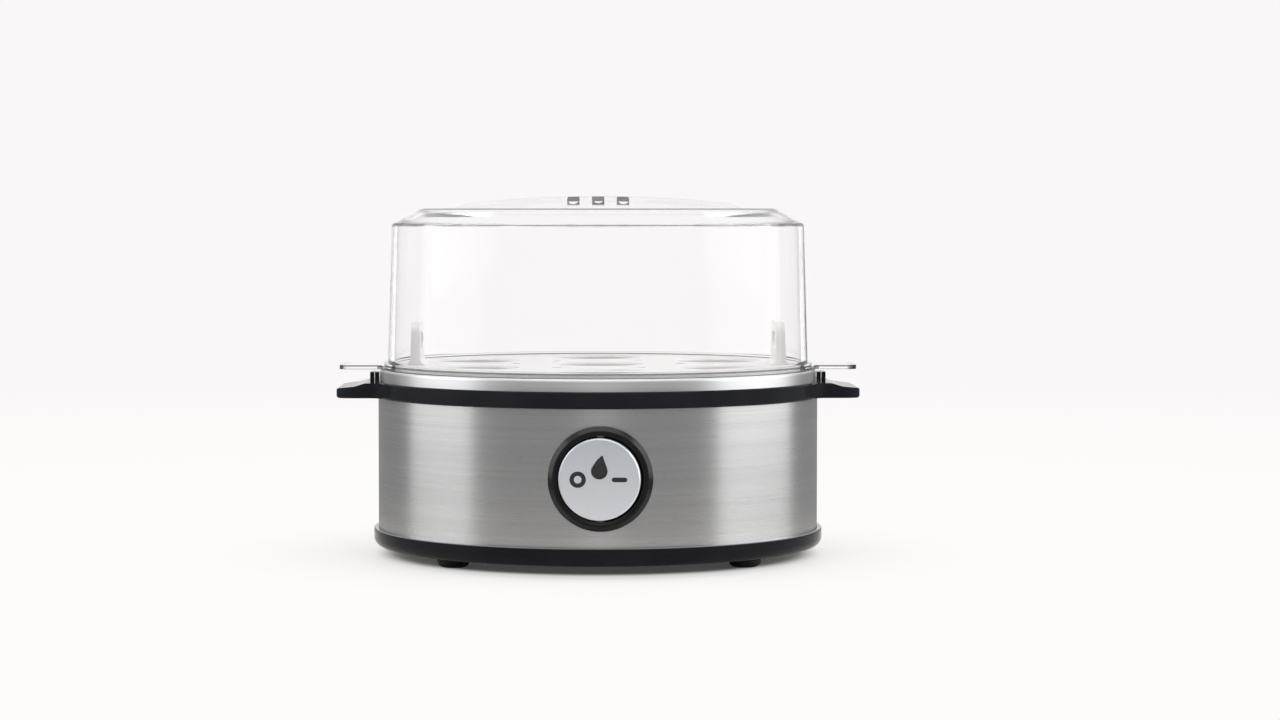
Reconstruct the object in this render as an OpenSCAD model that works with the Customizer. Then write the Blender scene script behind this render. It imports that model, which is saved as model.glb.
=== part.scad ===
// Round table-top egg cooker for seven eggs.
// A steel drum stands on a black base pan and carries a black handle ring, a pressed water
// basin with a heater under it, a lift-out egg tray and a clear lid.
// Millimetres. Z is up from the table, the front is -Y and the handles point along X.

/* [Drum] */
// Outer diameter of the steel drum
shell_d = 170; // [166:1:182]
// Sheet thickness of the drum
shell_t = 0.7; // [0.5:0.1:0.9]
// Height of steel that shows between the base pan and the handle ring
shell_show = 50.5; // [49:0.5:60]
// How far the base pan and the handle ring stand out past the drum
ring_over = 1.2; // [1:0.1:2]
// How deep the drum's edges sit in the grooves of the two rings
groove_depth = 3; // [2:0.5:4]
// Free space on each side of the sheet in its groove
groove_gap = 0.15; // [0.1:0.05:0.25]
// Thickness of the rib behind each groove
rib_t = 1.9; // [1.5:0.1:2.5]

/* [Base pan] */
// Height of the pan's visible side
base_h = 6.8; // [6:0.2:9]
// Thickness of the pan's floor
base_t = 2.2; // [1.8:0.1:3]
// How far the pan stands out beyond the drum
base_over = 1.8; // [1:0.1:3]
// Radius of the pan's lower edge
base_round = 3; // [1:0.5:4]
// Length of each cooling slot in the floor
slot_l = 36; // [20:1:44]
// Width of each cooling slot
slot_w = 3; // [2:0.1:3.6]
// Distance between neighbouring cooling slots
slot_pitch = 8; // [7:0.5:9]

/* [Feet] */
// Height of the feet below the pan
foot_h = 4.5; // [3:0.5:8]
// Diameter of a foot
foot_d = 12; // [10:0.5:16]
// Distance from a foot's middle to the edge of the flat floor
foot_inset = 13.1; // [10:0.1:15]
// Angle of the feet round the pan, from the handles' line
foot_angle = 39.5; // [38:0.5:50]
// Depth of the seat that each foot is pressed into
foot_seat = 0.8; // [0.4:0.1:1.2]

/* [Handle ring] */
// Height of the black ring
band_h = 6.1; // [5.5:0.1:8]
// Thickness of the ring's top web
web_t = 2.5; // [2:0.1:3]
// How far each handle reaches out from the ring
handle_out = 14.2; // [12:0.5:24]
// Width of each handle
handle_w = 40; // [30:1:60]
// Thickness of the handle at its tip
handle_tip = 3.8; // [3.2:0.1:5]
// Height of the two uprights on each handle root
lug_h = 3.2; // [2:0.1:3.8]
// Width of the uprights
lug_w = 10; // [6:1:24]

/* [Water basin] */
// Sheet thickness of the basin
basin_t = 0.8; // [0.6:0.1:1]
// How far the basin's rim stands in from the drum
rim_inset = 0.8; // [0.4:0.1:1.6]
// Height of the polished rim above the handle ring
rim_h = 4.6; // [4.2:0.1:7]
// Width of the rim's flat top
rim_w = 4; // [3:0.1:5]
// Width of the ledge that the tray rests on
ledge_w = 5; // [4:0.1:6]
// How far the ledge lies below the rim
ledge_drop = 2.2; // [1.8:0.1:2.6]
// Depth of the basin below its rim
basin_depth = 18.5; // [14:0.5:19]
// How much the wall leans in towards the floor
basin_lean = 4.5; // [2:0.5:7]

/* [Heater] */
// Distance from the tie screws in to the edge of the aluminium plate under the basin
spreader_inset = 5; // [4.5:0.1:7]
// Thickness of the aluminium plate
spreader_t = 3.5; // [3:0.1:4]
// Diameter of the heating tube
tube_d = 6.5; // [5.5:0.1:6.8]
// Distance from the plate's edge in to the middle of the heating tube
tube_inset = 9; // [7:0.5:11]
// Open angle between the two ends of the tube
tube_open = 50; // [40:1:70]
// Radius at which the tube's ends turn down
tube_bend = 7; // [6:0.5:8]
// Thickness of the heat shield
shield_t = 0.5; // [0.4:0.1:0.8]
// Distance from the tie screws in to the edge of the heat shield
shield_inset = 11; // [9:0.5:14]
// Distance from the aluminium plate down to the heat shield
shield_drop = 25.2; // [24:0.2:27]

/* [Tie screws] */
// Distance from the basin's floor edge in to the three tie screws
tie_inset = 9.7; // [9:0.1:12]
// Diameter of the pan's pillars
pillar_d = 9; // [8:0.5:11]
// Thread diameter of the tie screws
screw_d = 4; // [3:0.5:4]
// Length of the tie screws below the head
screw_l = 25; // [20:1:30]

/* [Switch] */
// Width of the bezel's rounded collar
collar_w = 2.4; // [2:0.1:3]
// Width of the step inside the collar
step_w = 1.1; // [0.8:0.1:1.6]
// How far the bezel stands out from the drum
bezel_out = 2.6; // [2:0.1:3.4]
// Diameter of the rocker disc
disc_d = 29.7; // [28:0.1:32]
// How far the rocker disc stands out from the drum
disc_out = 4; // [3.6:0.1:5]
// Free space around the rocker disc
disc_gap = 0.75; // [0.7:0.05:1]
// Tilt of the rocker each way from its middle position
rocker_tilt = 4; // [2:0.5:4]
// Diameter of the rocker's pivot pins
pivot_d = 3; // [2.4:0.1:3.4]
// Radial clearance of the pivot pins
pivot_gap = 0.05; // [0.03:0.01:0.08]
// Size of the drop-shaped window
drop_r = 2.9; // [2.4:0.1:3.2]
// Width and height of the switch housing
housing_w = 24; // [23:0.5:25]
// Tilt of the contact lever each way
lever_tilt = 8; // [4:1:9]

/* [Cord inlet] */
// Free height between the base pan and the cord inlet's flange
inlet_gap = 0.7; // [0.4:0.1:6]
// Bore of the cord inlet
inlet_d = 6.6; // [5:0.1:7.4]
// Outer diameter of the inlet's flange
inlet_flange_d = 14; // [13:0.5:15]

/* [Egg tray] */
// Thickness of the tray
tray_t = 2; // [1.6:0.1:2.4]
// Height of the tray's skirt, from its resting edge to its top face
tray_h = 3.7; // [3:0.1:5]
// Diameter of the egg holes
egg_hole_d = 34; // [30:1:36]
// Width of the tray between its skirt and the outer egg holes
egg_margin = 4.4; // [3:0.2:6]
// Distance from the tray's edge in to the middle of each tray handle
post_inset = 8.4; // [7:0.2:10]
// Height of the tray handles above the tray
post_h = 16.5; // [14:0.5:22]
// Width of the tray handles
post_w = 26; // [22:1:28]
// Thickness of the tray handles
post_t = 3.8; // [3:0.1:4.4]
// Free space around the tray inside the lid
tray_gap = 0.5; // [0.4:0.1:1]

/* [Lid] */
// Wall thickness of the lid
lid_t = 2.2; // [1.8:0.1:2.6]
// Height of the lid's wall from its flange to the shoulder
lid_wall_h = 52.9; // [50:0.5:64]
// How much the wall leans in up to the shoulder
lid_lean = 1.5; // [0.5:0.5:3]
// Height of the sloping shoulder
bevel_h = 6.4; // [4:0.2:9]
// Width of the sloping shoulder
bevel_w = 11.2; // [8:0.2:14]
// Height of the flange
flange_h = 2.5; // [2.2:0.1:3.4]
// How far the lid's tabs reach out from the flange
tab_out = 15; // [10:0.5:20]
// Width of the lid's tabs
tab_w = 26; // [20:1:34]
// Thickness of the lid's tabs
tab_t = 1.6; // [1.4:0.1:2]
// Depth of the lip that centres the lid in the basin
spigot_h = 1.5; // [1:0.1:1.6]
// Thickness of that lip
spigot_t = 1; // [0.8:0.1:1.1]
// Free space around the lip
spigot_gap = 0.3; // [0.25:0.05:0.5]
// Length of the raised grip
grip_l = 112; // [90:1:120]
// Width of the raised grip
grip_w = 32; // [28:1:40]
// Height of the raised grip
grip_h = 4.5; // [4:0.1:8]
// Radius of the grip's long arch
grip_arch_r = 500; // [400:10:700]
// Diameter of the steam holes
vent_d = 4.6; // [3:0.1:5]
// Distance between the steam holes
vent_pitch = 9.5; // [7:0.1:12]

/* [Hidden] */

$fn = 64;
big_fn = 180;
blend_fn = 32;
cut = 1;

// Radii, from the drum inwards and outwards
shell_r = shell_d / 2;
band_r = shell_r + ring_over;
base_r = shell_r + base_over;
lip_r = shell_r + groove_gap;
rib_out_r = shell_r - shell_t - groove_gap;
rib_in_r = rib_out_r - rib_t;
rim_r = shell_r - rim_inset;
step_r = rim_r - rim_w;
basin_r = step_r - ledge_w;
floor_r = basin_r - basin_lean;
tie_r = floor_r - tie_inset;
spreader_r = tie_r - spreader_inset;
tube_ring_r = spreader_r - tube_inset;
shield_r = tie_r - shield_inset;
foot_ring_r = base_r - base_round - foot_inset;
web_gap = 1.2;
web_r = basin_r + basin_t + web_gap;
edge = 0.5;

// Heights above the table
base_z = foot_h;
base_top = base_z + base_h;
groove_lo = base_top - groove_depth;
band_z = base_top + shell_show;
groove_hi = band_z + groove_depth;
band_top = band_z + band_h;
rim_z = band_top + rim_h;
ledge_z = rim_z - ledge_drop;
floor_z = rim_z - basin_depth;
basin_under = floor_z - basin_t;
spreader_z = basin_under - spreader_t;
pan_floor = base_z + base_t;
shield_top = spreader_z - shield_drop;
pillar_top = shield_top - shield_t;
rib_rise = 1;

// Points on an arc round (x, y), from angle a0 to angle a1
function arc(x, y, r, a0, a1, n = 8) =
    [for (i = [0:n]) let (a = a0 + (a1 - a0) * i / n) [x + r * cos(a), y + r * sin(a)]];

// A plate with round corners, centred on the origin
module round_plate(x, y, t, r) {
    linear_extrude(t)
        offset(r = r, $fn = blend_fn)
            square([x - 2 * r, y - 2 * r], center = true);
}

// One child at each of the three tie screws
tie_angles = [90, 210, 330];
module at_ties() {
    for (a = tie_angles)
        rotate([0, 0, a])
            translate([tie_r, 0, 0])
                children();
}

// ---- Base pan ----

screw_r = screw_d / 2;
screw_hole_gap = 0.3;
head_r = screw_r + 1.7;
head_h = 2.6;
head_gap = 0.5;
head_seat = base_z + 5.5;
stem_r = 2.4;
stem_gap = 0.1;
foot_gap = 0.15;
slot_rows = 4;
slot_first = 10;
block_x = 32;
block_inset = 27;
block_y = shell_r - block_inset;
block_post_d = 7;
block_post_h = 3;

module base_pan() {
    color("#27292c")
        difference() {
            union() {
                rotate_extrude($fn = big_fn)
                    polygon(concat(
                        [[0, pan_floor], [0, base_z]],
                        arc(base_r - base_round, base_z + base_round, base_round, -90, 0),
                        arc(base_r - edge, base_top - edge, edge, 0, 90, 3),
                        [[lip_r, base_top], [lip_r, groove_lo],
                            [rib_out_r, groove_lo], [rib_out_r, base_top + rib_rise],
                            [rib_in_r, base_top + rib_rise], [rib_in_r, pan_floor]]));
                at_ties()
                    translate([0, 0, base_z + base_t / 2])
                        cylinder(d = pillar_d, h = pillar_top - base_z - base_t / 2);
                for (x = [-1, 1])
                    translate([block_x + x * block_hole_x, block_y, base_z + base_t / 2])
                        cylinder(d = block_post_d, h = base_t / 2 + block_post_h);
            }
            at_ties() {
                translate([0, 0, base_z - cut])
                    cylinder(r = screw_r + screw_hole_gap, h = pillar_top - base_z + 2 * cut);
                translate([0, 0, base_z - cut])
                    cylinder(r = head_r + head_gap, h = head_seat - base_z + cut);
            }
            for (x = [-1, 1], y = [-1, 1])
                at_foot(x, y)
                    translate([0, 0, base_z - cut]) {
                        cylinder(d = foot_d + 2 * foot_gap, h = foot_seat + cut);
                        cylinder(r = stem_r + stem_gap, h = base_t + 2 * cut);
                    }
            for (x = [-1, 1], i = [0:slot_rows - 1])
                translate([x * (slot_first + i * slot_pitch), 0, base_z - cut])
                    round_plate(slot_w, slot_l, base_t + 2 * cut, slot_w / 2 - 0.1);
            for (x = [-1, 1])
                translate([block_x + x * block_hole_x, block_y, base_z + base_t / 2])
                    cylinder(r = block_screw_r + thread_gap, h = base_t + block_post_h);
        }
}

// A foot is a rubber dome with a stem that snaps through the floor
foot_flat_r = 3.4;
stem_head_r = 3.1;
stem_head_h = 1.6;

module foot() {
    foot_r = foot_d / 2;
    dome_h = foot_h / 2;
    seat_z = base_z + foot_seat;
    color("#1c1d1f")
        rotate_extrude()
            polygon(concat(
                [[0, 0], [foot_flat_r, 0]],
                [for (a = [15:15:90]) [foot_flat_r + (foot_r - foot_flat_r) * sin(a),
                    dome_h * (1 - cos(a))]],
                [[foot_r, seat_z], [stem_r, seat_z], [stem_r, pan_floor],
                    [stem_head_r, pan_floor], [stem_r, pan_floor + stem_head_h],
                    [0, pan_floor + stem_head_h]]));
}

// Places its child at the foot on side x (-1 left, 1 right) and side y (-1 front, 1 rear)
module at_foot(x, y) {
    translate([x * foot_ring_r * cos(foot_angle), y * foot_ring_r * sin(foot_angle), 0])
        children();
}

module foot_front_left() {
    at_foot(-1, -1)
        foot();
}

module foot_front_right() {
    at_foot(1, -1)
        foot();
}

module foot_rear_left() {
    at_foot(-1, 1)
        foot();
}

module foot_rear_right() {
    at_foot(1, 1)
        foot();
}

// Tie screws pull the pan, the drum, the handle ring and the basin together
drive_w = 1;
drive_depth = 1.2;

module tie_screws() {
    color("#b9bcc0")
        at_ties()
            difference() {
                union() {
                    translate([0, 0, head_seat - head_h])
                        cylinder(r = head_r, h = head_h);
                    translate([0, 0, head_seat - head_h / 2])
                        cylinder(r = screw_r, h = screw_l + head_h / 2);
                }
                for (a = [0, 90])
                    rotate([0, 0, a])
                        translate([-head_r / 2, -drive_w / 2, head_seat - head_h - cut])
                            cube([head_r, drive_w, drive_depth + cut]);
            }
}

thread_gap = 0.05;
standoff_flats = 7;
bore_spare = 3;

module standoffs() {
    color("#c9ccd0")
        at_ties()
            difference() {
                translate([0, 0, shield_top])
                    cylinder(d = standoff_flats / cos(30), h = basin_under - shield_top, $fn = 6);
                translate([0, 0, shield_top - cut])
                    cylinder(r = screw_r + thread_gap,
                        h = head_seat + screw_l + bore_spare - shield_top + cut);
            }
}

// ---- Drum ----

disc_r = disc_d / 2;
bore_r = disc_r + disc_gap;
bezel_r = bore_r + step_w + collar_w;
neck_wall = 1.7;
neck_r = bore_r + neck_wall;
neck_gap = 0.3;
switch_z = base_top + shell_show / 2;
inlet_z = base_top + rib_rise + inlet_gap + inlet_flange_d / 2;
sheet_gap = 0.3;
inlet_neck_r = inlet_flange_d / 2 - 1.8;

module body_shell() {
    color("#a3a3a2")
        difference() {
            translate([0, 0, groove_lo])
                cylinder(r = shell_r, h = groove_hi - groove_lo - sheet_gap, $fn = big_fn);
            translate([0, 0, groove_lo - cut])
                cylinder(r = shell_r - shell_t, h = groove_hi - groove_lo + 2 * cut,
                    $fn = big_fn);
            translate([0, 0, switch_z])
                rotate([90, 0, 0])
                    cylinder(r = neck_r + neck_gap, h = shell_r + cut);
            translate([0, 0, inlet_z])
                rotate([-90, 0, 0])
                    cylinder(r = inlet_neck_r + neck_gap, h = shell_r + cut);
        }
}

// ---- Handle ring ----

handle_root = 5.7;
handle_round = 1.2;
handle_corner = 6;
// Where the top of a handle leaves the ring, how much it sags half way, how its tip turns
handle_flat = 3;
handle_sag = 0.3;
tip_turn = 75;
// Hollow fillet between a handle's flank and the ring
root_fillet = 5;
lug_gap = 0.5;
lug_t = 1.6;
lug_slot = 0.3;
pocket_wall = 2;
pocket_depth = 1.6;

// Side view of a handle, from the axis out to the tip
module handle_side() {
    tip_x = band_r + handle_out;
    root_z = band_z + handle_root;
    polygon(concat(
        [[0, band_z]],
        arc(tip_x - handle_round, band_z + handle_round, handle_round, -90, 0, 4),
        arc(tip_x - handle_round, band_z + handle_tip - handle_round, handle_round,
            0, tip_turn, 4),
        [[band_r + handle_out / 2, band_z + (handle_tip + handle_root) / 2 - handle_sag],
            [band_r + handle_flat, root_z], [0, root_z]]));
}

// Space of a handle seen from above, outside the ring's groove
module handle_plan(h) {
    reach = band_r + handle_out;
    turn_y = handle_w / 2 + root_fillet;
    turn_x = sqrt(pow(band_r + root_fillet, 2) - pow(turn_y, 2));
    difference() {
        union() {
            translate([reach / 2, 0, 0])
                round_plate(reach, handle_w, h, handle_corner);
            linear_extrude(h)
                polygon([[0, 0], [turn_x, -turn_y], [turn_x, turn_y]]);
        }
        for (y = [-1, 1])
            translate([turn_x, y * turn_y, -cut])
                cylinder(r = root_fillet, h = h + 2 * cut, $fn = blend_fn);
        translate([0, 0, -cut])
            cylinder(r = lip_r + edge, h = h + 2 * cut, $fn = big_fn);
    }
}

module handle() {
    side_w = handle_w + 2 * root_fillet;
    pocket_l = handle_out - 2 * pocket_wall - 1;
    difference() {
        intersection() {
            translate([0, side_w / 2, 0])
                rotate([90, 0, 0])
                    linear_extrude(side_w)
                        handle_side();
            translate([0, 0, band_z - cut])
                handle_plan(band_h + 2 * cut);
        }
        for (y = [-1, 1])
            translate([band_r + 1 + pocket_wall / 2 + pocket_l / 2,
                y * (handle_w / 4 - pocket_wall / 2), band_z - cut])
                round_plate(pocket_l, handle_w / 2 - 2 * pocket_wall, pocket_depth + cut, 1.5);
    }
}

// One upright, from radius r0 to radius r0 + lug_t
module lug(r0) {
    intersection() {
        rotate_extrude($fn = big_fn)
            translate([r0, band_top - web_t / 2])
                square([lug_t, web_t / 2 + lug_h]);
        translate([0, -lug_w / 2, 0])
            cube([band_r + handle_out, lug_w, rim_z]);
    }
}

module handle_ring() {
    lug_r = rim_r + lug_gap;
    color("#1f2324")
        union() {
            rotate_extrude($fn = big_fn)
                polygon([[web_r, band_top], [web_r, band_top - web_t],
                    [rib_in_r, band_top - web_t], [rib_in_r, band_z - rib_rise],
                    [rib_out_r, band_z - rib_rise], [rib_out_r, groove_hi],
                    [lip_r, groove_hi], [lip_r, band_z],
                    [band_r - edge, band_z], [band_r, band_z + edge],
                    [band_r, band_top - edge], [band_r - edge, band_top]]);
            for (a = [0, 180])
                rotate([0, 0, a]) {
                    handle();
                    lug(lug_r);
                    lug(lug_r + lug_t + lug_slot);
                }
        }
}

// ---- Basin and its seal ----

gasket_inset = 0.4;

module rim_gasket() {
    color("#8f9194")
        rotate_extrude($fn = big_fn)
            translate([web_r + gasket_inset, band_top])
                square([step_r - web_r - 2 * gasket_inset, ledge_z - basin_t - band_top]);
}

basin_round = 4;
rim_round = 1.2;

module water_basin() {
    color("#b6b1aa")
        rotate_extrude($fn = big_fn)
            polygon(concat(
                [[0, floor_z]],
                arc(floor_r - basin_round, floor_z + basin_round, basin_round, -90, -10),
                [[basin_r, ledge_z], [step_r, ledge_z], [step_r, rim_z]],
                arc(rim_r - rim_round, rim_z - rim_round, rim_round, 90, 0, 6),
                [[rim_r, band_top], [rim_r - basin_t, band_top]],
                arc(rim_r - rim_round, rim_z - rim_round, rim_round - basin_t, 0, 90, 4),
                [[step_r + basin_t, rim_z - basin_t], [step_r + basin_t, ledge_z - basin_t],
                    [basin_r + basin_t, ledge_z - basin_t]],
                arc(floor_r - basin_round, floor_z + basin_round, basin_round + basin_t, -10, -90),
                [[0, basin_under]]));
}

// ---- Heater ----

groove_clear = 0.15;
tube_r = tube_d / 2;
tube_z = spreader_z - 0.6;
tube_leg = 4;
clip_screw_x = 17;
clip_screw_r = 1.5;
fuse_inset = 18;
fuse_y = fuse_inset - tube_ring_r;
fuse_screw_y = fuse_y - 7;

module heat_spreader() {
    color("#c4c6c8")
        difference() {
            translate([0, 0, spreader_z])
                cylinder(r = spreader_r, h = spreader_t, $fn = big_fn);
            translate([0, 0, tube_z])
                rotate_extrude($fn = big_fn)
                    translate([tube_ring_r, 0])
                        circle(r = tube_r + groove_clear);
            for (x = [-1, 1])
                translate([x * clip_screw_x, 0, spreader_z - cut])
                    cylinder(r = clip_screw_r + thread_gap, h = spreader_t - 0.5 + cut);
            translate([0, fuse_screw_y, spreader_z - cut])
                cylinder(r = clip_screw_r + thread_gap, h = spreader_t - 0.5 + cut);
        }
}

// Places its child at each end of the tube, with +Y along the tube and away from it
module at_tube_ends() {
    for (s = [0, 1])
        mirror([s, 0, 0])
            translate([0, 0, tube_z - tube_bend])
                rotate([0, 0, 90 - tube_open / 2])
                    translate([tube_ring_r, 0, 0])
                        children();
}

module heating_element() {
    color("#8b8d90") {
        translate([0, 0, tube_z])
            rotate([0, 0, 90 + tube_open / 2])
                rotate_extrude(angle = 360 - tube_open, $fn = big_fn)
                    translate([tube_ring_r, 0])
                        circle(r = tube_r);
        at_tube_ends() {
            rotate([90, 0, 90])
                rotate_extrude(angle = 90)
                    translate([tube_bend, 0])
                        circle(r = tube_r);
            translate([0, tube_bend, -tube_leg])
                cylinder(r = tube_r, h = tube_leg);
            translate([0, -cut, tube_bend])
                rotate([-90, 0, 0])
                    cylinder(r = tube_r / 2, h = 2 * cut);
        }
    }
}

bead_h = 4;
bead_r = 2.4;
pin_r = 1.1;
pin_l = 8;

module terminal_beads() {
    color("#e8e4da")
        at_tube_ends()
            translate([0, tube_bend, -tube_leg - bead_h])
                difference() {
                    cylinder(r = bead_r, h = bead_h);
                    translate([0, 0, -cut])
                        cylinder(r = pin_r + thread_gap, h = bead_h + 2 * cut);
                }
}

module terminal_pins() {
    color("#c9ccd0")
        at_tube_ends()
            translate([0, tube_bend, -tube_leg - pin_l])
                cylinder(r = pin_r, h = pin_l);
}

arm_w = 12;

// Notch in the shield's edge that lets two leads up
notch_r = 11;
notch_angle = 63.4;

module heat_shield() {
    color("#d4d6d8")
        translate([0, 0, pillar_top])
            linear_extrude(shield_t)
                difference() {
                    union() {
                        circle(r = shield_r, $fn = big_fn);
                        for (a = tie_angles)
                            rotate([0, 0, a]) {
                                translate([shield_r / 2, -arm_w / 2])
                                    square([tie_r - shield_r / 2, arm_w]);
                                translate([tie_r, 0])
                                    circle(d = arm_w + 0.4);
                            }
                    }
                    for (a = tie_angles)
                        rotate([0, 0, a])
                            translate([tie_r, 0])
                                circle(r = screw_r + screw_hole_gap);
                    rotate([0, 0, notch_angle])
                        translate([shield_r - 0.8, 0])
                            circle(r = notch_r);
                }
}

// ---- Thermostat and thermal fuse ----

stat_r = 8;
stat_flange_r = 11;
stat_flange_t = 0.8;
stat_h = 10;
tab_blade_w = 6.3;
tab_blade_t = 0.8;
tab_blade_l = 8;
stat_tab_l = 6;
stat_tab_x = 4;

module thermostat() {
    color("#d9d4c8")
        translate([0, 0, spreader_z]) {
            translate([0, 0, -stat_h])
                cylinder(r = stat_r, h = stat_h);
            translate([0, 0, -stat_flange_t])
                cylinder(r = stat_flange_r, h = stat_flange_t);
            for (x = [-1, 1])
                translate([x * stat_tab_x - tab_blade_t / 2, -tab_blade_w / 2,
                    -stat_h - stat_tab_l])
                    cube([tab_blade_t, tab_blade_w, stat_tab_l + 1]);
        }
}

clip_t = 0.8;
clip_ear_w = 9;
clip_ring_r = stat_flange_r + 1.4;
clip_gap = 0.4;

module thermostat_clip() {
    color("#c9ccd0")
        difference() {
            translate([0, 0, spreader_z - stat_flange_t]) {
                translate([0, 0, -clip_t])
                    cylinder(r = clip_ring_r, h = clip_t);
                for (s = [0, 180])
                    rotate([0, 0, s])
                        translate([stat_flange_r + clip_gap, -clip_ear_w / 2, -clip_t / 2])
                            cube([clip_screw_x + 4 - stat_flange_r - clip_gap, clip_ear_w,
                                stat_flange_t + clip_t / 2]);
            }
            translate([0, 0, spreader_z - stat_h])
                cylinder(r = stat_r + clip_gap, h = stat_h + cut);
            for (x = [-1, 1])
                translate([x * clip_screw_x, 0, spreader_z - stat_h])
                    cylinder(r = clip_screw_r + screw_hole_gap, h = stat_h + cut);
        }
}

small_head_r = 2.7;
small_head_h = 1.8;
small_screw_l = 4;

// A small pan-head screw that points up, with its head's upper face at z = 0
module small_screw(r, l) {
    difference() {
        union() {
            translate([0, 0, -small_head_h])
                cylinder(r = small_head_r, h = small_head_h);
            translate([0, 0, -small_head_h / 2])
                cylinder(r = r, h = l + small_head_h / 2);
        }
        translate([-small_head_r - cut, -drive_w / 2, -small_head_h - cut])
            cube([2 * small_head_r + 2 * cut, drive_w, cut + small_head_h / 3]);
    }
}

module clip_screws() {
    color("#b9bcc0")
        for (x = [-1, 1])
            translate([x * clip_screw_x, 0, spreader_z - stat_flange_t - clip_t / 2])
                small_screw(clip_screw_r, small_screw_l - 1);
}

fuse_r = 2;
fuse_l = 11;
fuse_lead_r = 0.5;
fuse_lead_l = 9;
sleeve_t = 0.5;
sleeve_gap = 0.1;
sleeve_l = 24;
sleeve_r = fuse_r + sleeve_gap + sleeve_t;
fuse_z = spreader_z - sleeve_r - 0.15;

module along_x(l) {
    translate([-l / 2, fuse_y, fuse_z])
        rotate([0, 90, 0])
            children();
}

module thermal_fuse() {
    lead = fuse_l + 2 * fuse_lead_l;
    color("#c7a04a") {
        along_x(fuse_l)
            cylinder(r = fuse_r, h = fuse_l);
        along_x(lead)
            cylinder(r = fuse_lead_r, h = lead);
    }
}

module fuse_sleeve() {
    color("#efece4")
        along_x(sleeve_l)
            difference() {
                cylinder(r = sleeve_r, h = sleeve_l);
                translate([0, 0, -cut])
                    cylinder(r = fuse_r + sleeve_gap, h = sleeve_l + 2 * cut);
            }
}

fuse_clip_w = 8;
fuse_clip_t = 0.8;
fuse_clip_gap = 0.15;

module fuse_clip() {
    hug_r = sleeve_r + fuse_clip_gap;
    color("#c9ccd0")
        difference() {
            union() {
                along_x(fuse_clip_w)
                    cylinder(r = hug_r + fuse_clip_t, h = fuse_clip_w);
                translate([-fuse_clip_w / 2, fuse_y - hug_r - fuse_clip_t, fuse_z])
                    cube([fuse_clip_w, 2 * (hug_r + fuse_clip_t), spreader_z - fuse_z]);
                translate([-fuse_clip_w / 2, fuse_screw_y - fuse_clip_w / 2,
                    spreader_z - fuse_clip_t])
                    cube([fuse_clip_w, fuse_y - hug_r - fuse_screw_y + fuse_clip_w / 2,
                        fuse_clip_t]);
            }
            along_x(fuse_clip_w + 2 * cut)
                cylinder(r = hug_r, h = fuse_clip_w + 2 * cut);
            translate([-fuse_clip_w, fuse_y - hug_r, fuse_z])
                cube([2 * fuse_clip_w, 2 * hug_r, spreader_z - fuse_z + cut]);
            translate([-fuse_clip_w, fuse_y - 3 * hug_r, spreader_z])
                cube([2 * fuse_clip_w, 6 * hug_r, 2 * hug_r]);
            translate([0, fuse_screw_y, spreader_z - 2 * cut])
                cylinder(r = clip_screw_r + screw_hole_gap, h = 3 * cut);
        }
}

module fuse_screw() {
    color("#b9bcc0")
        translate([0, fuse_screw_y, spreader_z - fuse_clip_t])
            small_screw(clip_screw_r, small_screw_l - 1);
}

// ---- Switch: its own frame has +Z out of the drum and +Y up ----

pivot_r = pivot_d / 2;
pivot_z = -2.6;
neck_depth = 9;
collar_drop = 0.8;
disc_wall = 1.6;
disc_skirt = 5;
pin_end_gap = 0.2;
snap_h = 1.4;

module at_switch() {
    translate([0, -shell_r, switch_z])
        rotate([90, 0, 0])
            children();
}

// Turns its child with the rocker, which rests with its left side pressed
module rocker_rest() {
    translate([0, 0, pivot_z])
        rotate([0, -rocker_tilt, 0])
            translate([0, 0, -pivot_z])
                children();
}

module switch_bezel() {
    step_in = bezel_r - collar_w;
    color("#232527")
        difference() {
            union() {
                difference() {
                    at_switch()
                        translate([0, 0, -3])
                            cylinder(r = bezel_r, h = bezel_out + 3);
                    cylinder(r = shell_r + 0.05, h = band_top, $fn = big_fn);
                }
                at_switch()
                    translate([0, 0, -neck_depth])
                        cylinder(r = neck_r, h = neck_depth + bezel_out / 2);
                at_switch()
                    for (a = [0, 180])
                        rotate([0, 0, a])
                            translate([neck_r - 1, -3, -neck_depth + 1])
                                cube([1 + snap_h, 6, 2]);
            }
            at_switch()
                rotate_extrude()
                    polygon([[step_in, bezel_out + cut], [step_in, bezel_out - collar_drop],
                        [bore_r, bezel_out - collar_drop - 0.3], [bore_r, -neck_depth - cut],
                        [0, -neck_depth - cut], [0, bezel_out + cut]]);
            at_switch()
                rotate_extrude()
                    polygon([[bezel_r + cut, bezel_out - 1.6 - cut * 0.8],
                        [bezel_r - 1.7, bezel_out + 0.1], [bezel_r - 1.7, bezel_out + cut],
                        [bezel_r + cut, bezel_out + cut]]);
            at_switch()
                translate([0, 0, pivot_z])
                    rotate([90, 0, 0])
                        cylinder(r = pivot_r + pivot_gap, h = 2 * (neck_r + cut), center = true);
        }
}

// Outline of the drop window: a round drop with its tip leaning to the right
drop_y = 3.1;
drop_neck = [0.1, 6.2];
drop_neck_r = 1.21;
drop_tip = [1, 8.5];
drop_tip_r = 0.15;
drop_bite = [5.3, 8.1];
drop_bite_r = 3.7;
module drop(grow) {
    offset(r = grow, $fn = blend_fn)
        difference() {
            hull() {
                translate([0, drop_y])
                    circle(r = drop_r);
                translate(drop_neck)
                    circle(r = drop_neck_r);
                translate(drop_tip)
                    circle(r = drop_tip_r);
            }
            translate(drop_bite)
                circle(r = drop_bite_r);
        }
}

lens_gap = 0.1;
lens_proud = 0.1;
lens_t = 2.2;
post_bore_r = 1.6;
post_wall = 1.2;
post_end = -13;
lamp_way = 12;
ear_w = 7;
ear_t = 2.6;

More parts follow.
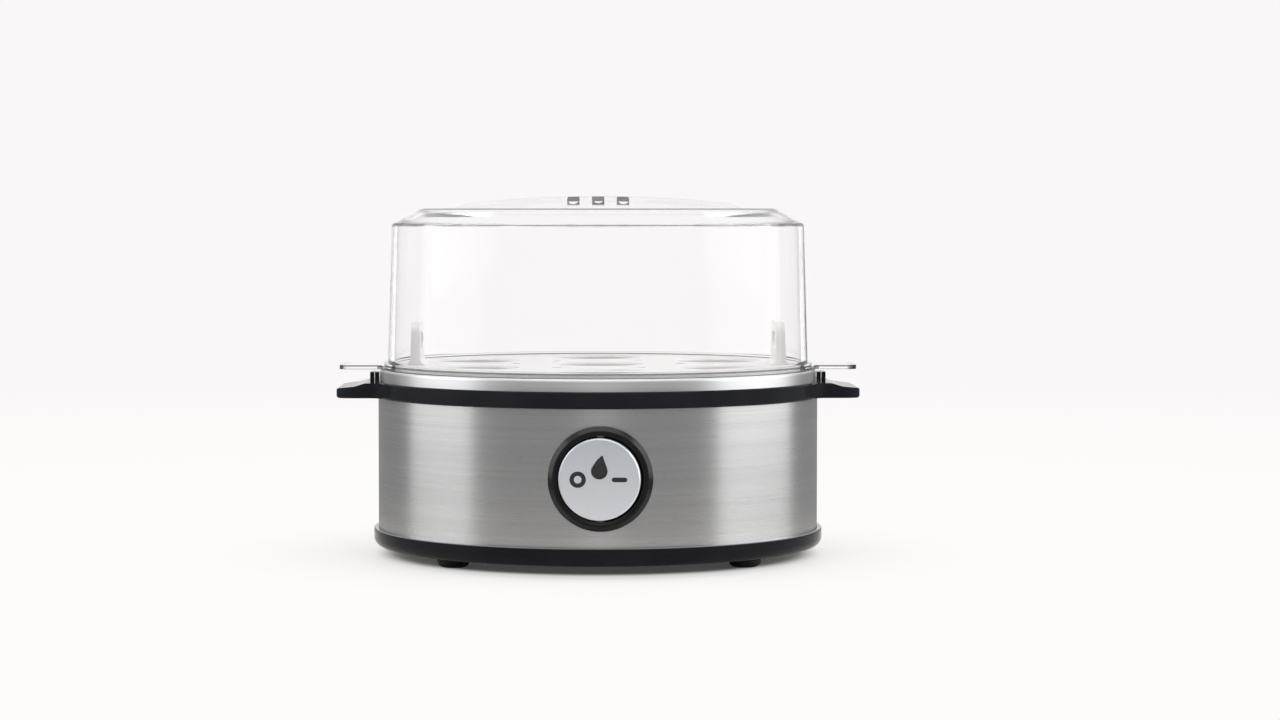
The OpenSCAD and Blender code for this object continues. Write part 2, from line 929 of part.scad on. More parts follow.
module switch_rocker() {
    top = disc_out;
    color("#c3c7cb")
        at_switch()
            rocker_rest()
                difference() {
                    union() {
                        rotate_extrude($fn = big_fn)
                            polygon([[0, top], [disc_r - edge, top], [disc_r, top - edge],
                                [disc_r, top - disc_skirt], [disc_r - disc_wall, top - disc_skirt],
                                [disc_r - disc_wall, top - disc_wall], [0, top - disc_wall]]);
                        for (a = [0, 180])
                            rotate([0, 0, a])
                                intersection() {
                                    translate([-ear_w / 2, disc_r - ear_t, pivot_z - ear_w / 2])
                                        cube([ear_w, ear_t, top - disc_wall / 2 - pivot_z
                                            + ear_w / 2]);
                                    translate([0, 0, pivot_z - ear_w])
                                        cylinder(r = disc_r - 0.05, h = 4 * ear_w);
                                }
                        translate([0, 0, pivot_z])
                            rotate([90, 0, 0])
                                for (s = [0, 1])
                                    mirror([0, 0, s])
                                        translate([0, 0, disc_r - ear_t / 2])
                                            cylinder(r = pivot_r,
                                                h = neck_r - pin_end_gap - disc_r + ear_t / 2);
                        translate([0, -lamp_y, post_end])
                            cylinder(r = post_bore_r + post_wall, h = top - disc_wall / 2 - post_end);
                        for (x = [-1, 1])
                            translate([x * lamp_hold_x - 0.6, lamp_y - 2.4, lamp_z - 0.4])
                                cube([1.2, 4.8, top - disc_wall / 2 - lamp_z + 0.4]);
                    }
                    translate([0, -lamp_y, post_end - cut])
                        cylinder(r = post_bore_r, h = top - disc_wall - 1 - post_end);
                    translate([0, 0, top - lens_t])
                        linear_extrude(lens_t + cut)
                            drop(lens_gap);
                    translate([0, lamp_y, lamp_z])
                        rotate([0, 90, 0])
                            cylinder(r = lamp_r + lens_gap, h = lamp_way, center = true);
                }
}

module indicator_lens() {
    color("#4a4648")
        at_switch()
            rocker_rest()
                translate([0, 0, disc_out - lens_t + 0.3])
                    linear_extrude(lens_t - 0.3 + lens_proud)
                        drop(0);
}

lamp_r = 1.3;
lamp_l = 8;
lamp_y = 3;
lamp_z = 0;
lamp_hold_x = 3;

module indicator_lamp() {
    color("#e6c9b0")
        at_switch()
            rocker_rest()
                translate([0, lamp_y, lamp_z])
                    rotate([0, 90, 0]) {
                        cylinder(r = lamp_r, h = lamp_l, center = true);
                        cylinder(r = 0.3, h = lamp_l + 6, center = true);
                    }
}

plunger_r = post_bore_r - 0.06;
plunger_l = 5;
lever_z = -17.4;
lever_t = 0.8;
lever_pin_r = 1;
plunger_lift = 0.35;
plunger_end = lever_z + lever_pin_r + plunger_lift;

module switch_plunger() {
    color("#e9e6dd")
        at_switch()
            rocker_rest()
                translate([0, -lamp_y, plunger_end])
                    rotate_extrude()
                        polygon([[0, 0], [0.5, 0], [plunger_r * 0.7, 0.7], [plunger_r, 1.6],
                            [plunger_r, plunger_l], [0, plunger_l]]);
}

spring_turns = 6;
spring_wire = 0.35;
spring_r = 1.1;

// A coil spring as a stack of plain rings between the plunger and the post's end
module plunger_spring() {
    lo = plunger_end + plunger_l + spring_wire / 2;
    hi = disc_out - disc_wall - 1 - spring_wire - 1;
    color("#b9bcc0")
        at_switch()
            rocker_rest()
                translate([0, -lamp_y, 0])
                    coil(spring_r, spring_wire / 2, lo, hi, spring_turns);
}

// A round wire wound round Z from height z0 to height z1
module coil(r, wire_r, z0, z1, turns) {
    steps = 12 * turns;
    sides = 6;
    path = [for (i = [0:steps]) let (a = 360 * turns * i / steps)
        [r * cos(a), r * sin(a), z0 + (z1 - z0) * i / steps]];
    sweep(path, wire_r, sides);
}

// ---- Tube along a path of points ----

function unit(v) = v / norm(v);
function heading(p, i) = unit(p[min(i + 1, len(p) - 1)] - p[max(i - 1, 0)]);
function side_of(t) = unit(cross(t, abs(t[2]) < 0.9 ? [0, 0, 1] : [1, 0, 0]));
function carry(u, t) = unit(u - (u * t) * t);
function frames(p, i = 0, u = [0, 0, 0]) =
    i == len(p) ? [] :
    let (t = heading(p, i), v = i == 0 ? side_of(t) : carry(u, t))
    concat([[v, cross(t, v)]], frames(p, i + 1, v));

module sweep(p, r, n) {
    f = frames(p);
    m = len(p);
    points = [for (i = [0:m - 1], k = [0:n - 1])
        p[i] + r * (cos(360 * k / n) * f[i][0] + sin(360 * k / n) * f[i][1])];
    walls = [for (i = [0:m - 2], k = [0:n - 1]) let (j = (k + 1) % n)
        each [[i * n + k, i * n + j, (i + 1) * n + j], [i * n + k, (i + 1) * n + j, (i + 1) * n + k]]];
    caps = [[for (k = [0:n - 1]) n - 1 - k], [for (k = [0:n - 1]) (m - 1) * n + k]];
    polyhedron(points, concat([for (w = walls) [w[0], w[2], w[1]]],
        [for (c = caps) [for (k = [len(c) - 1:-1:0]) c[k]]]));
}

wall_t = 1.6;
housing_z = -neck_depth - 1.4;
housing_depth = 13;
housing_end = housing_z - housing_depth;
flange_t = 1.4;

module switch_housing() {
    half = housing_w / 2;
    color("#3a3c3f")
        at_switch()
            difference() {
                union() {
                    translate([0, 0, housing_z])
                        cylinder(r = neck_r, h = flange_t);
                    translate([-half, -half, housing_end])
                        cube([housing_w, housing_w, housing_depth + flange_t / 2]);
                }
                translate([-half + wall_t, -half + wall_t, housing_end + wall_t])
                    cube([housing_w - 2 * wall_t, housing_w - 2 * wall_t, housing_depth + flange_t]);
                for (x = terminal_x)
                    translate([x - tab_blade_t / 2 - 0.1, -lamp_y - tab_blade_w / 2 - 0.1,
                        housing_end - cut])
                        cube([tab_blade_t + 0.2, tab_blade_w + 0.2, wall_t + 2 * cut]);
            }
}

lever_l = 15;
lever_w = 4.6;
lever_pin_l = 8;
contact_r = 1.2;
contact_h = 0.6;
contact_gap = 0.3;

// Turns its child with the contact lever, which tilts against the rocker
module lever_rest() {
    translate([0, -lamp_y, lever_z])
        rotate([0, lever_tilt, 0])
            children();
}

module contact_lever() {
    color("#c98b4a")
        at_switch()
            lever_rest() {
                translate([-lever_l / 2, -lever_w / 2, -lever_t / 2])
                    cube([lever_l, lever_w, lever_t]);
                rotate([90, 0, 0])
                    cylinder(r = lever_pin_r, h = lever_pin_l, center = true);
                translate([-lever_l / 2 + contact_r + 0.3, 0, -lever_t / 2 - contact_h])
                    cylinder(r = contact_r, h = contact_h + lever_t / 2);
            }
}

terminal_x = [-6, 0, 6];
cradle_t = 1;
cradle_gap = 0.15;

module common_terminal() {
    y0 = lever_w / 2 + cradle_gap;
    inner = housing_end + wall_t;
    color("#c2a15a")
        at_switch()
            translate([0, -lamp_y, 0])
                difference() {
                    union() {
                        translate([-tab_blade_t / 2, -tab_blade_w / 2, housing_end - tab_blade_l])
                            cube([tab_blade_t, tab_blade_w, tab_blade_l + wall_t + 0.5]);
                        translate([-2, -y0 - cradle_t, inner])
                            cube([4, 2 * (y0 + cradle_t), 0.8]);
                        for (s = [0, 1])
                            mirror([0, s, 0])
                                translate([-2, y0, inner])
                                    cube([4, cradle_t, lever_z - inner + 2]);
                    }
                    translate([0, 0, lever_z])
                        rotate([90, 0, 0])
                            cylinder(r = lever_pin_r + pivot_gap, h = lever_w + 8, center = true);
                }
}

module fixed_terminals() {
    inner = housing_end + wall_t;
    pad = lever_z - (lever_t / 2 + contact_h) * cos(lever_tilt) - terminal_x[2] * sin(lever_tilt)
        - contact_gap - contact_r * sin(lever_tilt);
    color("#c2a15a")
        at_switch()
            translate([0, -lamp_y, 0])
                for (x = [terminal_x[0], terminal_x[2]]) {
                    translate([x - tab_blade_t / 2, -tab_blade_w / 2, housing_end - tab_blade_l])
                        cube([tab_blade_t, tab_blade_w, pad - contact_h / 2 - housing_end + tab_blade_l]);
                    translate([x, 0, pad - contact_h])
                        cylinder(r = contact_r, h = contact_h);
                }
}

// ---- Mains entry ----

block_l = 24;
block_w = 11;
block_h = 8;
block_hole_x = 6;
block_screw_r = 1.5;
block_z = pan_floor + block_post_h;
ways_x = [-9, 0, 9];
way_r = 2;

module at_block() {
    translate([block_x, block_y, block_z])
        children();
}

module terminal_block() {
    color("#ddd8cc")
        at_block()
            difference() {
                union() {
                    translate([-block_l / 2, -block_w / 2, 0])
                        cube([block_l, block_w, block_h / 2]);
                    for (x = ways_x)
                        translate([x - way_r - 1, -block_w / 2, block_h / 4])
                            cube([2 * way_r + 2, block_w, 3 * block_h / 4]);
                }
                for (x = ways_x)
                    translate([x, 0, block_h / 2])
                        rotate([90, 0, 0])
                            cylinder(r = way_r, h = block_w + 2 * cut, center = true);
                for (x = ways_x)
                    translate([x, 0, block_h / 2])
                        cylinder(r = 1.6, h = block_h);
                for (x = [-1, 1])
                    translate([x * block_hole_x / 1.33, 0, -cut])
                        cylinder(r = 0.8, h = block_h);
            }
}

module terminal_inserts() {
    color("#c8a95c")
        at_block()
            for (x = ways_x)
                translate([x, 0, block_h / 2])
                    rotate([90, 0, 0])
                        difference() {
                            cylinder(r = way_r - thread_gap, h = block_w - 2, center = true);
                            cylinder(r = way_r - 0.6, h = block_w, center = true);
                        }
}

module terminal_screws() {
    color("#b9bcc0")
        at_block()
            for (x = ways_x)
                translate([x, 0, block_h / 2 + way_r + 0.1])
                    difference() {
                        cylinder(r = 1.5, h = block_h / 2 - way_r);
                        translate([-2, -0.3, block_h / 2 - way_r - 0.8])
                            cube([4, 0.6, 2]);
                    }
}

// The bush's flange stands bush_lip off the drum and its nozzle bush_out
bush_lip = 2.4;
bush_out = 5;
bush_in = 5;
bush_back = 3;
nozzle_draft = 0.4;
bush_edge = 0.6;
// Inside the drum the lead's way is wider by way_spare
way_spare = 0.6;
way_end = 0.2;
bush_fit = 0.05;

module cord_bush() {
    flange_r = inlet_flange_d / 2;
    nozzle_r = inlet_neck_r - nozzle_draft;
    tip_r = nozzle_r - nozzle_draft;
    flange_y = shell_r + bush_lip;
    nozzle_y = shell_r + bush_out;
    color("#222426")
        translate([0, 0, inlet_z])
            difference() {
                union() {
                    difference() {
                        rotate([-90, 0, 0])
                            rotate_extrude()
                                polygon([[0, shell_r - bush_back], [flange_r, shell_r - bush_back],
                                    [flange_r, flange_y - 2 * bush_edge],
                                    [flange_r - 2 * bush_edge, flange_y],
                                    [nozzle_r, flange_y],
                                    [tip_r, nozzle_y - bush_edge],
                                    [tip_r - bush_edge, nozzle_y],
                                    [0, nozzle_y]]);
                        translate([0, 0, -inlet_z])
                            cylinder(r = shell_r + bush_fit, h = band_top, $fn = big_fn);
                    }
                    rotate([-90, 0, 0])
                        translate([0, 0, shell_r - bush_in])
                            cylinder(r = inlet_neck_r, h = bush_in + bush_lip / 2);
                    intersection() {
                        rotate([-90, 0, 0])
                            translate([0, 0, shell_r - bush_in])
                                cylinder(r = inlet_neck_r + 1, h = bush_in + cut);
                        translate([0, 0, -inlet_z])
                            cylinder(r = shell_r - shell_t - 2 * bush_fit, h = band_top, $fn = big_fn);
                    }
                }
                rotate([-90, 0, 0])
                    translate([0, 0, shell_r])
                        cylinder(d = inlet_d, h = bush_out + cut);
                rotate([-90, 0, 0])
                    translate([0, 0, shell_r - bush_in - cut])
                        cylinder(d = inlet_d + 2 * way_spare, h = bush_in + way_end + cut);
            }
}

// ---- Inner leads, each a cubic curve between two terminals ----

lead_r = 1.2;
lead_gap = 0.5;
lead_rings = 12;
lead_sides = 8;

function bezier(a, b, c, d) =
    [for (i = [0:lead_rings]) let (t = (1 - cos(180 * i / lead_rings)) / 2, u = 1 - t)
        u * u * u * a + 3 * u * u * t * b + 3 * u * t * t * c + t * t * t * d];

module lead(a, b, c, d) {
    sweep(bezier(a, b, c, d), lead_r, lead_sides);
}

// How far each lead runs straight on from its terminal before it turns
run_block = 12;
run_rise = 46;
run_switch = 24;
run_stat = 7;
run_fuse = 20;
run_pin = 12;

module wiring() {
    tab_y = -shell_r - housing_end + tab_blade_l + lead_gap;
    tab_z = switch_z - lamp_y;
    block_in = block_y - block_w / 2 - lead_r;
    way_z = block_z + block_h / 2;
    ring_a = 90 - tube_open / 2;
    pin_x = tube_ring_r * cos(ring_a) - tube_bend * sin(ring_a);
    pin_y = tube_ring_r * sin(ring_a) + tube_bend * cos(ring_a);
    pin_z = tube_z - tube_bend - tube_leg - pin_l - lead_gap;
    stat_z = spreader_z - stat_h - stat_tab_l - lead_gap;
    fuse_end = fuse_l / 2 + fuse_lead_l + lead_gap;
    left_x = block_x + ways_x[0];
    mid_x = block_x + ways_x[1];
    color("#e9e6e0") {
        lead([left_x, block_in, way_z], [left_x, block_in - run_block, way_z + run_rise],
            [run_stat, tab_y + run_switch, tab_z + run_stat], [0, tab_y, tab_z]);
        lead([terminal_x[0], tab_y, tab_z], [terminal_x[0], tab_y + run_switch / 2, tab_z],
            [-stat_tab_x, 0, stat_z - run_stat], [-stat_tab_x, 0, stat_z]);
        lead([stat_tab_x, 0, stat_z], [stat_tab_x, 0, stat_z - run_stat],
            [fuse_end + run_fuse, fuse_y + run_stat, fuse_z - run_stat],
            [fuse_end, fuse_y, fuse_z]);
        lead([-fuse_end, fuse_y, fuse_z], [-fuse_end - run_fuse, fuse_y, fuse_z],
            [-pin_x, pin_y, pin_z - run_pin], [-pin_x, pin_y, pin_z]);
        lead([mid_x, block_in, way_z], [mid_x, block_in - run_block, way_z],
            [pin_x, pin_y, pin_z - run_pin], [pin_x, pin_y, pin_z]);
    }
}

// ---- Egg tray ----

spigot_r = step_r - spigot_gap;
tray_r = spigot_r - spigot_t - tray_gap;
tray_top = ledge_z + tray_h;
egg_ring_r = tray_r - tray_t - egg_margin - egg_hole_d / 2;
post_r = tray_r - post_inset;
hole_bevel = 0.8;
drain_r = 2;
drain_ring_r = egg_ring_r / sqrt(3);
post_flare = 2.6;
post_corner = 5;
finger_w = 15;
finger_h = 6.5;

module egg_holes() {
    translate([0, 0, tray_top - tray_t - cut])
        cylinder(d = egg_hole_d, h = tray_t + 2 * cut);
    translate([0, 0, tray_top - hole_bevel])
        cylinder(d1 = egg_hole_d, d2 = egg_hole_d + 2 * hole_bevel + 0.5, h = hole_bevel + 0.25);
}

// A tray handle: a flat upright with a flared foot and a finger slot
module tray_post() {
    half_t = post_t / 2;
    difference() {
        intersection() {
            translate([0, post_w / 2 + cut, tray_top])
                rotate([90, 0, 0])
                    linear_extrude(post_w + 2 * cut)
                        polygon(concat(
                            [[-half_t - post_flare, -tray_t / 2]],
                            arc(-half_t - post_flare, post_flare, post_flare, -90, 0, 6),
                            [[-half_t * 0.8, post_h], [half_t * 0.8, post_h]],
                            arc(half_t + post_flare, post_flare, post_flare, 180, 270, 6),
                            [[half_t + post_flare, -tray_t / 2]]));
            translate([-half_t - post_flare - cut, 0, tray_top])
                rotate([90, 0, 90])
                    linear_extrude(post_t + 2 * post_flare + 2 * cut)
                        polygon(concat(
                            [[-post_w / 2 - 1, -tray_t / 2], [post_w / 2 + 1, -tray_t / 2]],
                            arc(post_w / 2 - post_corner, post_h - post_corner, post_corner,
                                0, 90, 6),
                            arc(-post_w / 2 + post_corner, post_h - post_corner, post_corner,
                                90, 180, 6)));
        }
        translate([-half_t - post_flare - cut, 0, tray_top + post_h - 4 - finger_h / 2])
            rotate([90, 0, 90])
                linear_extrude(post_t + 2 * post_flare + 2 * cut)
                    offset(r = finger_h / 2 - 0.1, $fn = blend_fn)
                        square([finger_w - finger_h + 0.2, 0.2], center = true);
    }
}

module egg_tray() {
    color("#d9dadb", 0.6)
        union() {
            difference() {
                rotate_extrude($fn = big_fn)
                    polygon([[0, tray_top], [tray_r - edge, tray_top], [tray_r, tray_top - edge],
                        [tray_r, ledge_z], [tray_r - tray_t, ledge_z],
                        [tray_r - tray_t, tray_top - tray_t], [0, tray_top - tray_t]]);
                egg_holes();
                for (a = [30:60:330])
                    rotate([0, 0, a])
                        translate([egg_ring_r, 0, 0])
                            egg_holes();
                for (a = [0:60:300])
                    rotate([0, 0, a])
                        translate([drain_ring_r, 0, tray_top - tray_t - cut])
                            cylinder(r = drain_r, h = tray_t + 2 * cut);
            }
            for (x = [-1, 1])
                translate([x * post_r, 0, 0])
                    tray_post();
        }
}

// ---- Lid ----

flange_out = 0.3;
flange_r = rim_r + flange_out;
flange_step = 1.6;
lid_r = step_r + 1.1;
shoulder_z = rim_z + flange_h + lid_wall_h;
lid_top = shoulder_z + bevel_h;
lid_round = 1.2;
tab_corner = 4;
grip_wall = 2.4;
grip_roof = 1.8;
vent_shift = 0.8;

// The grip's outer or inner form: two leaning walls that meet at both ends, under a long arch.
// At height z it is l long and w wide, and it reaches down by the given depth.
grip_draft = 1.2;

module grip_form(l, w, h, z, below) {
    off = (l * l / 4 - w * w / 4) / w;
    wall_r = off + w / 2;
    rise = h + 3;
    intersection() {
        intersection_for(side = [-1, 1])
            translate([0, side * off, z - below])
                cylinder(r1 = wall_r + grip_draft * below, r2 = wall_r - grip_draft * rise,
                    h = rise + below, $fn = big_fn);
        translate([0, l, z + h - grip_arch_r])
            rotate([90, 0, 0])
                cylinder(r = grip_arch_r, h = 2 * l, $fn = 720);
    }
}

module lid() {
    in_lip = spigot_r - spigot_t;
    wall_top_r = lid_r - lid_lean;
    roof_r = wall_top_r - bevel_w;
    roof_in = lid_top - lid_t;
    flank = grip_w / 2 - grip_draft * grip_h;
    color("#e8ebec", 0.35)
        difference() {
            union() {
                rotate_extrude($fn = big_fn)
                    polygon([[0, lid_top], [roof_r - lid_round, lid_top],
                        [roof_r + lid_round * 0.5, lid_top - lid_round * 0.3],
                        [wall_top_r - lid_round * 0.6, shoulder_z + lid_round * 0.6],
                        [wall_top_r, shoulder_z - lid_round * 0.6],
                        [lid_r, rim_z + flange_h + edge], [lid_r + edge, rim_z + flange_h],
                        [flange_r - flange_step, rim_z + flange_h],
                        [flange_r - flange_step, rim_z + tab_t], [flange_r, rim_z + tab_t],
                        [flange_r, rim_z], [spigot_r, rim_z], [spigot_r, rim_z - spigot_h],
                        [in_lip, rim_z - spigot_h], [in_lip, rim_z + edge],
                        [wall_top_r - lid_t, shoulder_z - lid_t * 0.3],
                        [roof_r - lid_t * 0.3, roof_in], [0, roof_in]]);
                for (a = [0, 180])
                    rotate([0, 0, a])
                        difference() {
                            translate([(flange_r + tab_out) / 2, 0, rim_z])
                                round_plate(flange_r + tab_out, tab_w, tab_t, tab_corner);
                            translate([0, 0, rim_z - cut])
                                cylinder(r = flange_r - 0.8, h = tab_t + 2 * cut, $fn = big_fn);
                        }
                grip_form(grip_l, grip_w, grip_h, lid_top, lid_t / 2);
            }
            grip_form(grip_l - 3 * grip_wall, grip_w - 2 * grip_wall, grip_h - grip_roof,
                lid_top, lid_t + cut);
            for (i = [-1:1])
                translate([i * vent_pitch, -flank - vent_shift, roof_in - cut])
                    cylinder(d = vent_d, h = grip_h + lid_t + 2 * cut);
        }
}

base_pan();
foot_front_left();
foot_front_right();
foot_rear_left();
foot_rear_right();
body_shell();
handle_ring();
rim_gasket();
water_basin();
heat_spreader();
heating_element();
terminal_beads();
terminal_pins();
standoffs();
tie_screws();
heat_shield();
thermostat();
thermostat_clip();
clip_screws();
thermal_fuse();
fuse_sleeve();
fuse_clip();
fuse_screw();
switch_bezel();
switch_rocker();
indicator_lens();
indicator_lamp();
switch_plunger();
plunger_spring();
switch_housing();
contact_lever();
common_terminal();
fixed_terminals();
terminal_block();
terminal_inserts();
terminal_screws();
cord_bush();
wiring();
egg_tray();
lid();
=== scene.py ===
import math

import bmesh
import bpy
from mathutils import Matrix, Vector


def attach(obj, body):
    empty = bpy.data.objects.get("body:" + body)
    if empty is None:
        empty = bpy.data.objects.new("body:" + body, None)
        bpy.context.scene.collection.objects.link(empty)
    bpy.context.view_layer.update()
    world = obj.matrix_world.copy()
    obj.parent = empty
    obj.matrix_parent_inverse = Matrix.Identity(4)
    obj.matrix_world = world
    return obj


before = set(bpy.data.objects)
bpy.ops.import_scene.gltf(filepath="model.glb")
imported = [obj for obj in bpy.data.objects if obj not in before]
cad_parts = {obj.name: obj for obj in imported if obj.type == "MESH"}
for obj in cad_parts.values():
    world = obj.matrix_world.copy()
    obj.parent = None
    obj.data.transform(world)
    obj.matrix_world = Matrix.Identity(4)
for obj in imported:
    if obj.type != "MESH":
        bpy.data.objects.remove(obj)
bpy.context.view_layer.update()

scene = bpy.context.scene
scene.view_settings.view_transform = "Standard"

# ---------------------------------------------------------------- Camera
# A long lens at table height, level with the lid, so that the drum's upright sides stay upright
# and its front edges show as shallow curves.
EYE = (-0.013, -1.202, 0.1338)
TILT_DOWN, TURN = 2.78, -0.667
lens = bpy.data.cameras.new("studio_camera")
lens.sensor_width = 36
lens.lens = 87.2
lens.shift_x = 0.0309
lens.clip_start = 0.02
lens.clip_end = 20
camera = bpy.data.objects.new("studio_camera", lens)
camera.location = EYE
camera.rotation_euler = (math.radians(90 - TILT_DOWN), 0, math.radians(TURN))
scene.collection.objects.link(camera)
scene.camera = camera


# ---------------------------------------------------------------- Table top
# A plain pale board, painted satin, wide enough to pass out of sight on every side. Near the
# cooker it takes its shadow, partly real and partly painted: a glow lightens the board all round
# but is held back inside a circle about the pan, and further off the board fades into the colour
# of the room's pale wall.
def linear(hex_colour):
    """Turns an sRGB hex colour into the linear RGBA that the sockets hold."""
    parts = [int(hex_colour[i:i + 2], 16) / 255 for i in (1, 3, 5)]
    return tuple(c / 12.92 if c <= 0.04045 else ((c + 0.055) / 1.055) ** 2.4 for c in parts) + (1,)


def add(tree, kind, sockets=None, **settings):
    """Adds one node. sockets gives its inputs by name or number, each a value or an output."""
    made = tree.nodes.new("ShaderNode" + kind)
    for name, value in settings.items():
        setattr(made, name, value)
    for name, value in (sockets or {}).items():
        if isinstance(value, bpy.types.Node):
            value = value.outputs[0]
        if isinstance(value, bpy.types.NodeSocket):
            tree.links.new(value, made.inputs[name])
        else:
            made.inputs[name].default_value = value
    return made


def start_finish(name):
    """Starts an empty node material and returns it with its tree."""
    made = bpy.data.materials.new(name)
    made.use_nodes = True
    made.node_tree.nodes.clear()
    return made, made.node_tree


# The colour of the wall, and how dim the rest of the room is when something mirrors it
BACKDROP = "#faf7f8"
ROOM_DIM = 0.27
# The bright wall starts and is full at these cosines from straight behind
WALL_START, WALL_FULL = 0.95, 0.997
# The painted shadow's circle lies about a point behind the middle, since most of the light comes
# from the front. Inside it the glow is held back, so the real shade under the pan shows.
SHADOW_MIDDLE = (0, 0.0114, 0)
SHADOW_CORE, SHADOW_RIM = 0.078, 0.089
SOFT_START, SOFT_END = 0.088, 0.15
# Satin paint: an even, pale, hardly grained ground that blurs what it mirrors
painted_board, t = start_finish("satin_painted_board")
place = add(t, "NewGeometry")
xyz = add(t, "SeparateXYZ", {0: place.outputs["Position"]})
flat = add(t, "VectorMath", {0: place.outputs["Position"], 1: (1, 1, 0)}, operation="MULTIPLY")
reach = add(t, "VectorMath", {0: flat}, operation="LENGTH").outputs["Value"]
pushed = add(t, "VectorMath", {0: flat, 1: SHADOW_MIDDLE}, operation="SUBTRACT")
shade = add(t, "VectorMath", {0: pushed}, operation="LENGTH").outputs["Value"]
# Painted shadow: the glow's share is small under the pan, grows past its rim and grows again
# further out
painted_shadow_rim = add(t, "MapRange", {0: shade, 1: SHADOW_CORE, 2: SHADOW_RIM, 3: 0.05, 4: 0.66},
           interpolation_type="SMOOTHSTEP")
painted_penumbra = add(t, "MapRange", {0: shade, 1: SOFT_START, 2: SOFT_END, 3: 0.0, 4: 0.34})
glow_outside_shadow = add(t, "Math", {0: painted_shadow_rim, 1: painted_penumbra}, operation="ADD")
grain = add(t, "TexNoise", {"Vector": place.outputs["Position"], "Scale": 1000 / 3.0,
                            "Detail": 4.0})
paint = add(t, "Mix", {"Factor": grain, "A": linear("#f6f2ee"), "B": linear("#f3efeb")},
            data_type="RGBA")
lit = add(t, "BsdfPrincipled", {"Base Color": paint.outputs["Result"], "Roughness": 0.5})
# Further off, the board takes the wall's colour
FADE_START, FADE_END = 0.3, 1.3
warm = add(t, "MapRange", {0: reach, 1: FADE_START, 2: FADE_END},
           interpolation_type="SMOOTHSTEP")
tint = add(t, "Mix", {"Factor": warm, "A": linear("#fdfcfa"), "B": linear(BACKDROP)},
           data_type="RGBA")
glow = add(t, "Emission", {"Color": tint.outputs["Result"], "Strength": 1.0})
ray = add(t, "LightPath")
seen = add(t, "Math", {0: ray.outputs["Is Camera Ray"], 1: ray.outputs["Is Transmission Ray"]},
           operation="MAXIMUM")
share = add(t, "Math", {0: glow_outside_shadow, 1: seen}, operation="MULTIPLY")
both = add(t, "MixShader", {0: share, 1: lit, 2: glow})
# In the steel's reflection the board carries a painted reflection of the room: the board seems to
# end near the pan, and past it come the dim room and the bright wall straight behind
BOARD_START, BOARD_END = 0.085, 0.19
course = add(t, "Math", {0: xyz.outputs["Y"], 1: reach}, operation="DIVIDE")
behind = add(t, "MapRange", {0: course, 1: WALL_START, 2: WALL_FULL, 3: ROOM_DIM + 0.05,
                             4: 0.95}, interpolation_type="SMOOTHSTEP")
painted_room_reflection = add(t, "Emission", {"Color": linear("#fbfafa"), "Strength": behind})
board_end = add(t, "MapRange", {0: reach, 1: BOARD_START, 2: BOARD_END},
                interpolation_type="SMOOTHSTEP")
mirrored = add(t, "Math", {0: ray.outputs["Is Glossy Ray"], 1: ray.outputs["Is Transmission Ray"]},
               operation="SUBTRACT", use_clamp=True)
gloss_share = add(t, "Math", {0: board_end, 1: mirrored}, operation="MULTIPLY")
whole = add(t, "MixShader", {0: gloss_share, 1: both, 2: painted_room_reflection})
add(t, "OutputMaterial", {0: whole})

BOARD_R = 6.0
board = bpy.data.meshes.new("table_top")
b = bmesh.new()
bmesh.ops.create_circle(b, cap_ends=True, segments=96, radius=BOARD_R)
b.to_mesh(board)
b.free()
board.materials.append(painted_board)
table_top = bpy.data.objects.new("table_top", board)
scene.collection.objects.link(table_top)

# ---------------------------------------------------------------- Studio light
# A bright pale wall stands behind, the rest of the room is dimmer, and three fabric soft boxes
# hang at the left, at the right and overhead. They give the drum its two upright bands.
CEILING, WINDOW, REAR = 0.92, 0.42, 0.06
FILL = 0.62
room = bpy.data.worlds.new("studio_room")
scene.world = room
room.use_nodes = True
t = room.node_tree
t.nodes.clear()
way = add(t, "TexCoord")
axis = add(t, "SeparateXYZ", {0: way.outputs["Generated"]})
wall = add(t, "MapRange", {0: axis.outputs["Y"], 1: WALL_START, 2: WALL_FULL},
           interpolation_type="SMOOTHSTEP")
# What polished pieces mirror: a dim room with a pale ceiling and a window in front
dim = add(t, "MapRange", {0: axis.outputs["Z"], 1: 0.20, 2: 0.60, 3: ROOM_DIM, 4: CEILING},
          interpolation_type="SMOOTHSTEP")
aside = add(t, "Math", {0: axis.outputs["X"]}, operation="ABSOLUTE")
gap = add(t, "MapRange", {0: aside, 1: 0.0, 2: 0.30, 3: WINDOW, 4: 0.0},
          interpolation_type="SMOOTHSTEP")
ahead = add(t, "MapRange", {0: axis.outputs["Y"], 1: -0.5, 2: -0.8})
window = add(t, "Math", {0: gap, 1: ahead, 2: dim}, operation="MULTIPLY_ADD")
rear = add(t, "MapRange", {0: axis.outputs["Y"], 1: 0.2, 2: 0.7, 3: 0.0, 4: REAR})
window = add(t, "Math", {0: window, 1: rear}, operation="ADD")
glossy = add(t, "MixRGB", {0: wall, 1: window, 2: linear(BACKDROP)})
room_side = add(t, "Background", {0: glossy, 1: 1.0})
backdrop = add(t, "Background", {0: linear(BACKDROP), 1: 1.0})
fill = add(t, "Background", {0: linear("#fffdfb"), 1: FILL})
ray = add(t, "LightPath")
shiny = add(t, "MixShader", {0: ray.outputs["Is Glossy Ray"], 1: fill, 2: room_side})
seen = add(t, "Math", {0: ray.outputs["Is Camera Ray"], 1: ray.outputs["Is Transmission Ray"]},
           operation="MAXIMUM")
both = add(t, "MixShader", {0: seen, 1: shiny, 2: backdrop})
add(t, "OutputWorld", {0: both})


AIM = (0, 0, 0.05)


def soft_box(name, place, width, height, radiance):
    """Hangs a soft box at place, facing the cooker, with that radiance over its cloth."""
    lamp = bpy.data.lights.new(name, "AREA")
    lamp.shape = "RECTANGLE"
    lamp.size, lamp.size_y = width, height
    lamp.energy = radiance * math.pi * width * height
    made = bpy.data.objects.new(name, lamp)
    made.location = place
    made.rotation_euler = (Vector(AIM) - Vector(place)).to_track_quat("-Z", "Y").to_euler()
    scene.collection.objects.link(made)


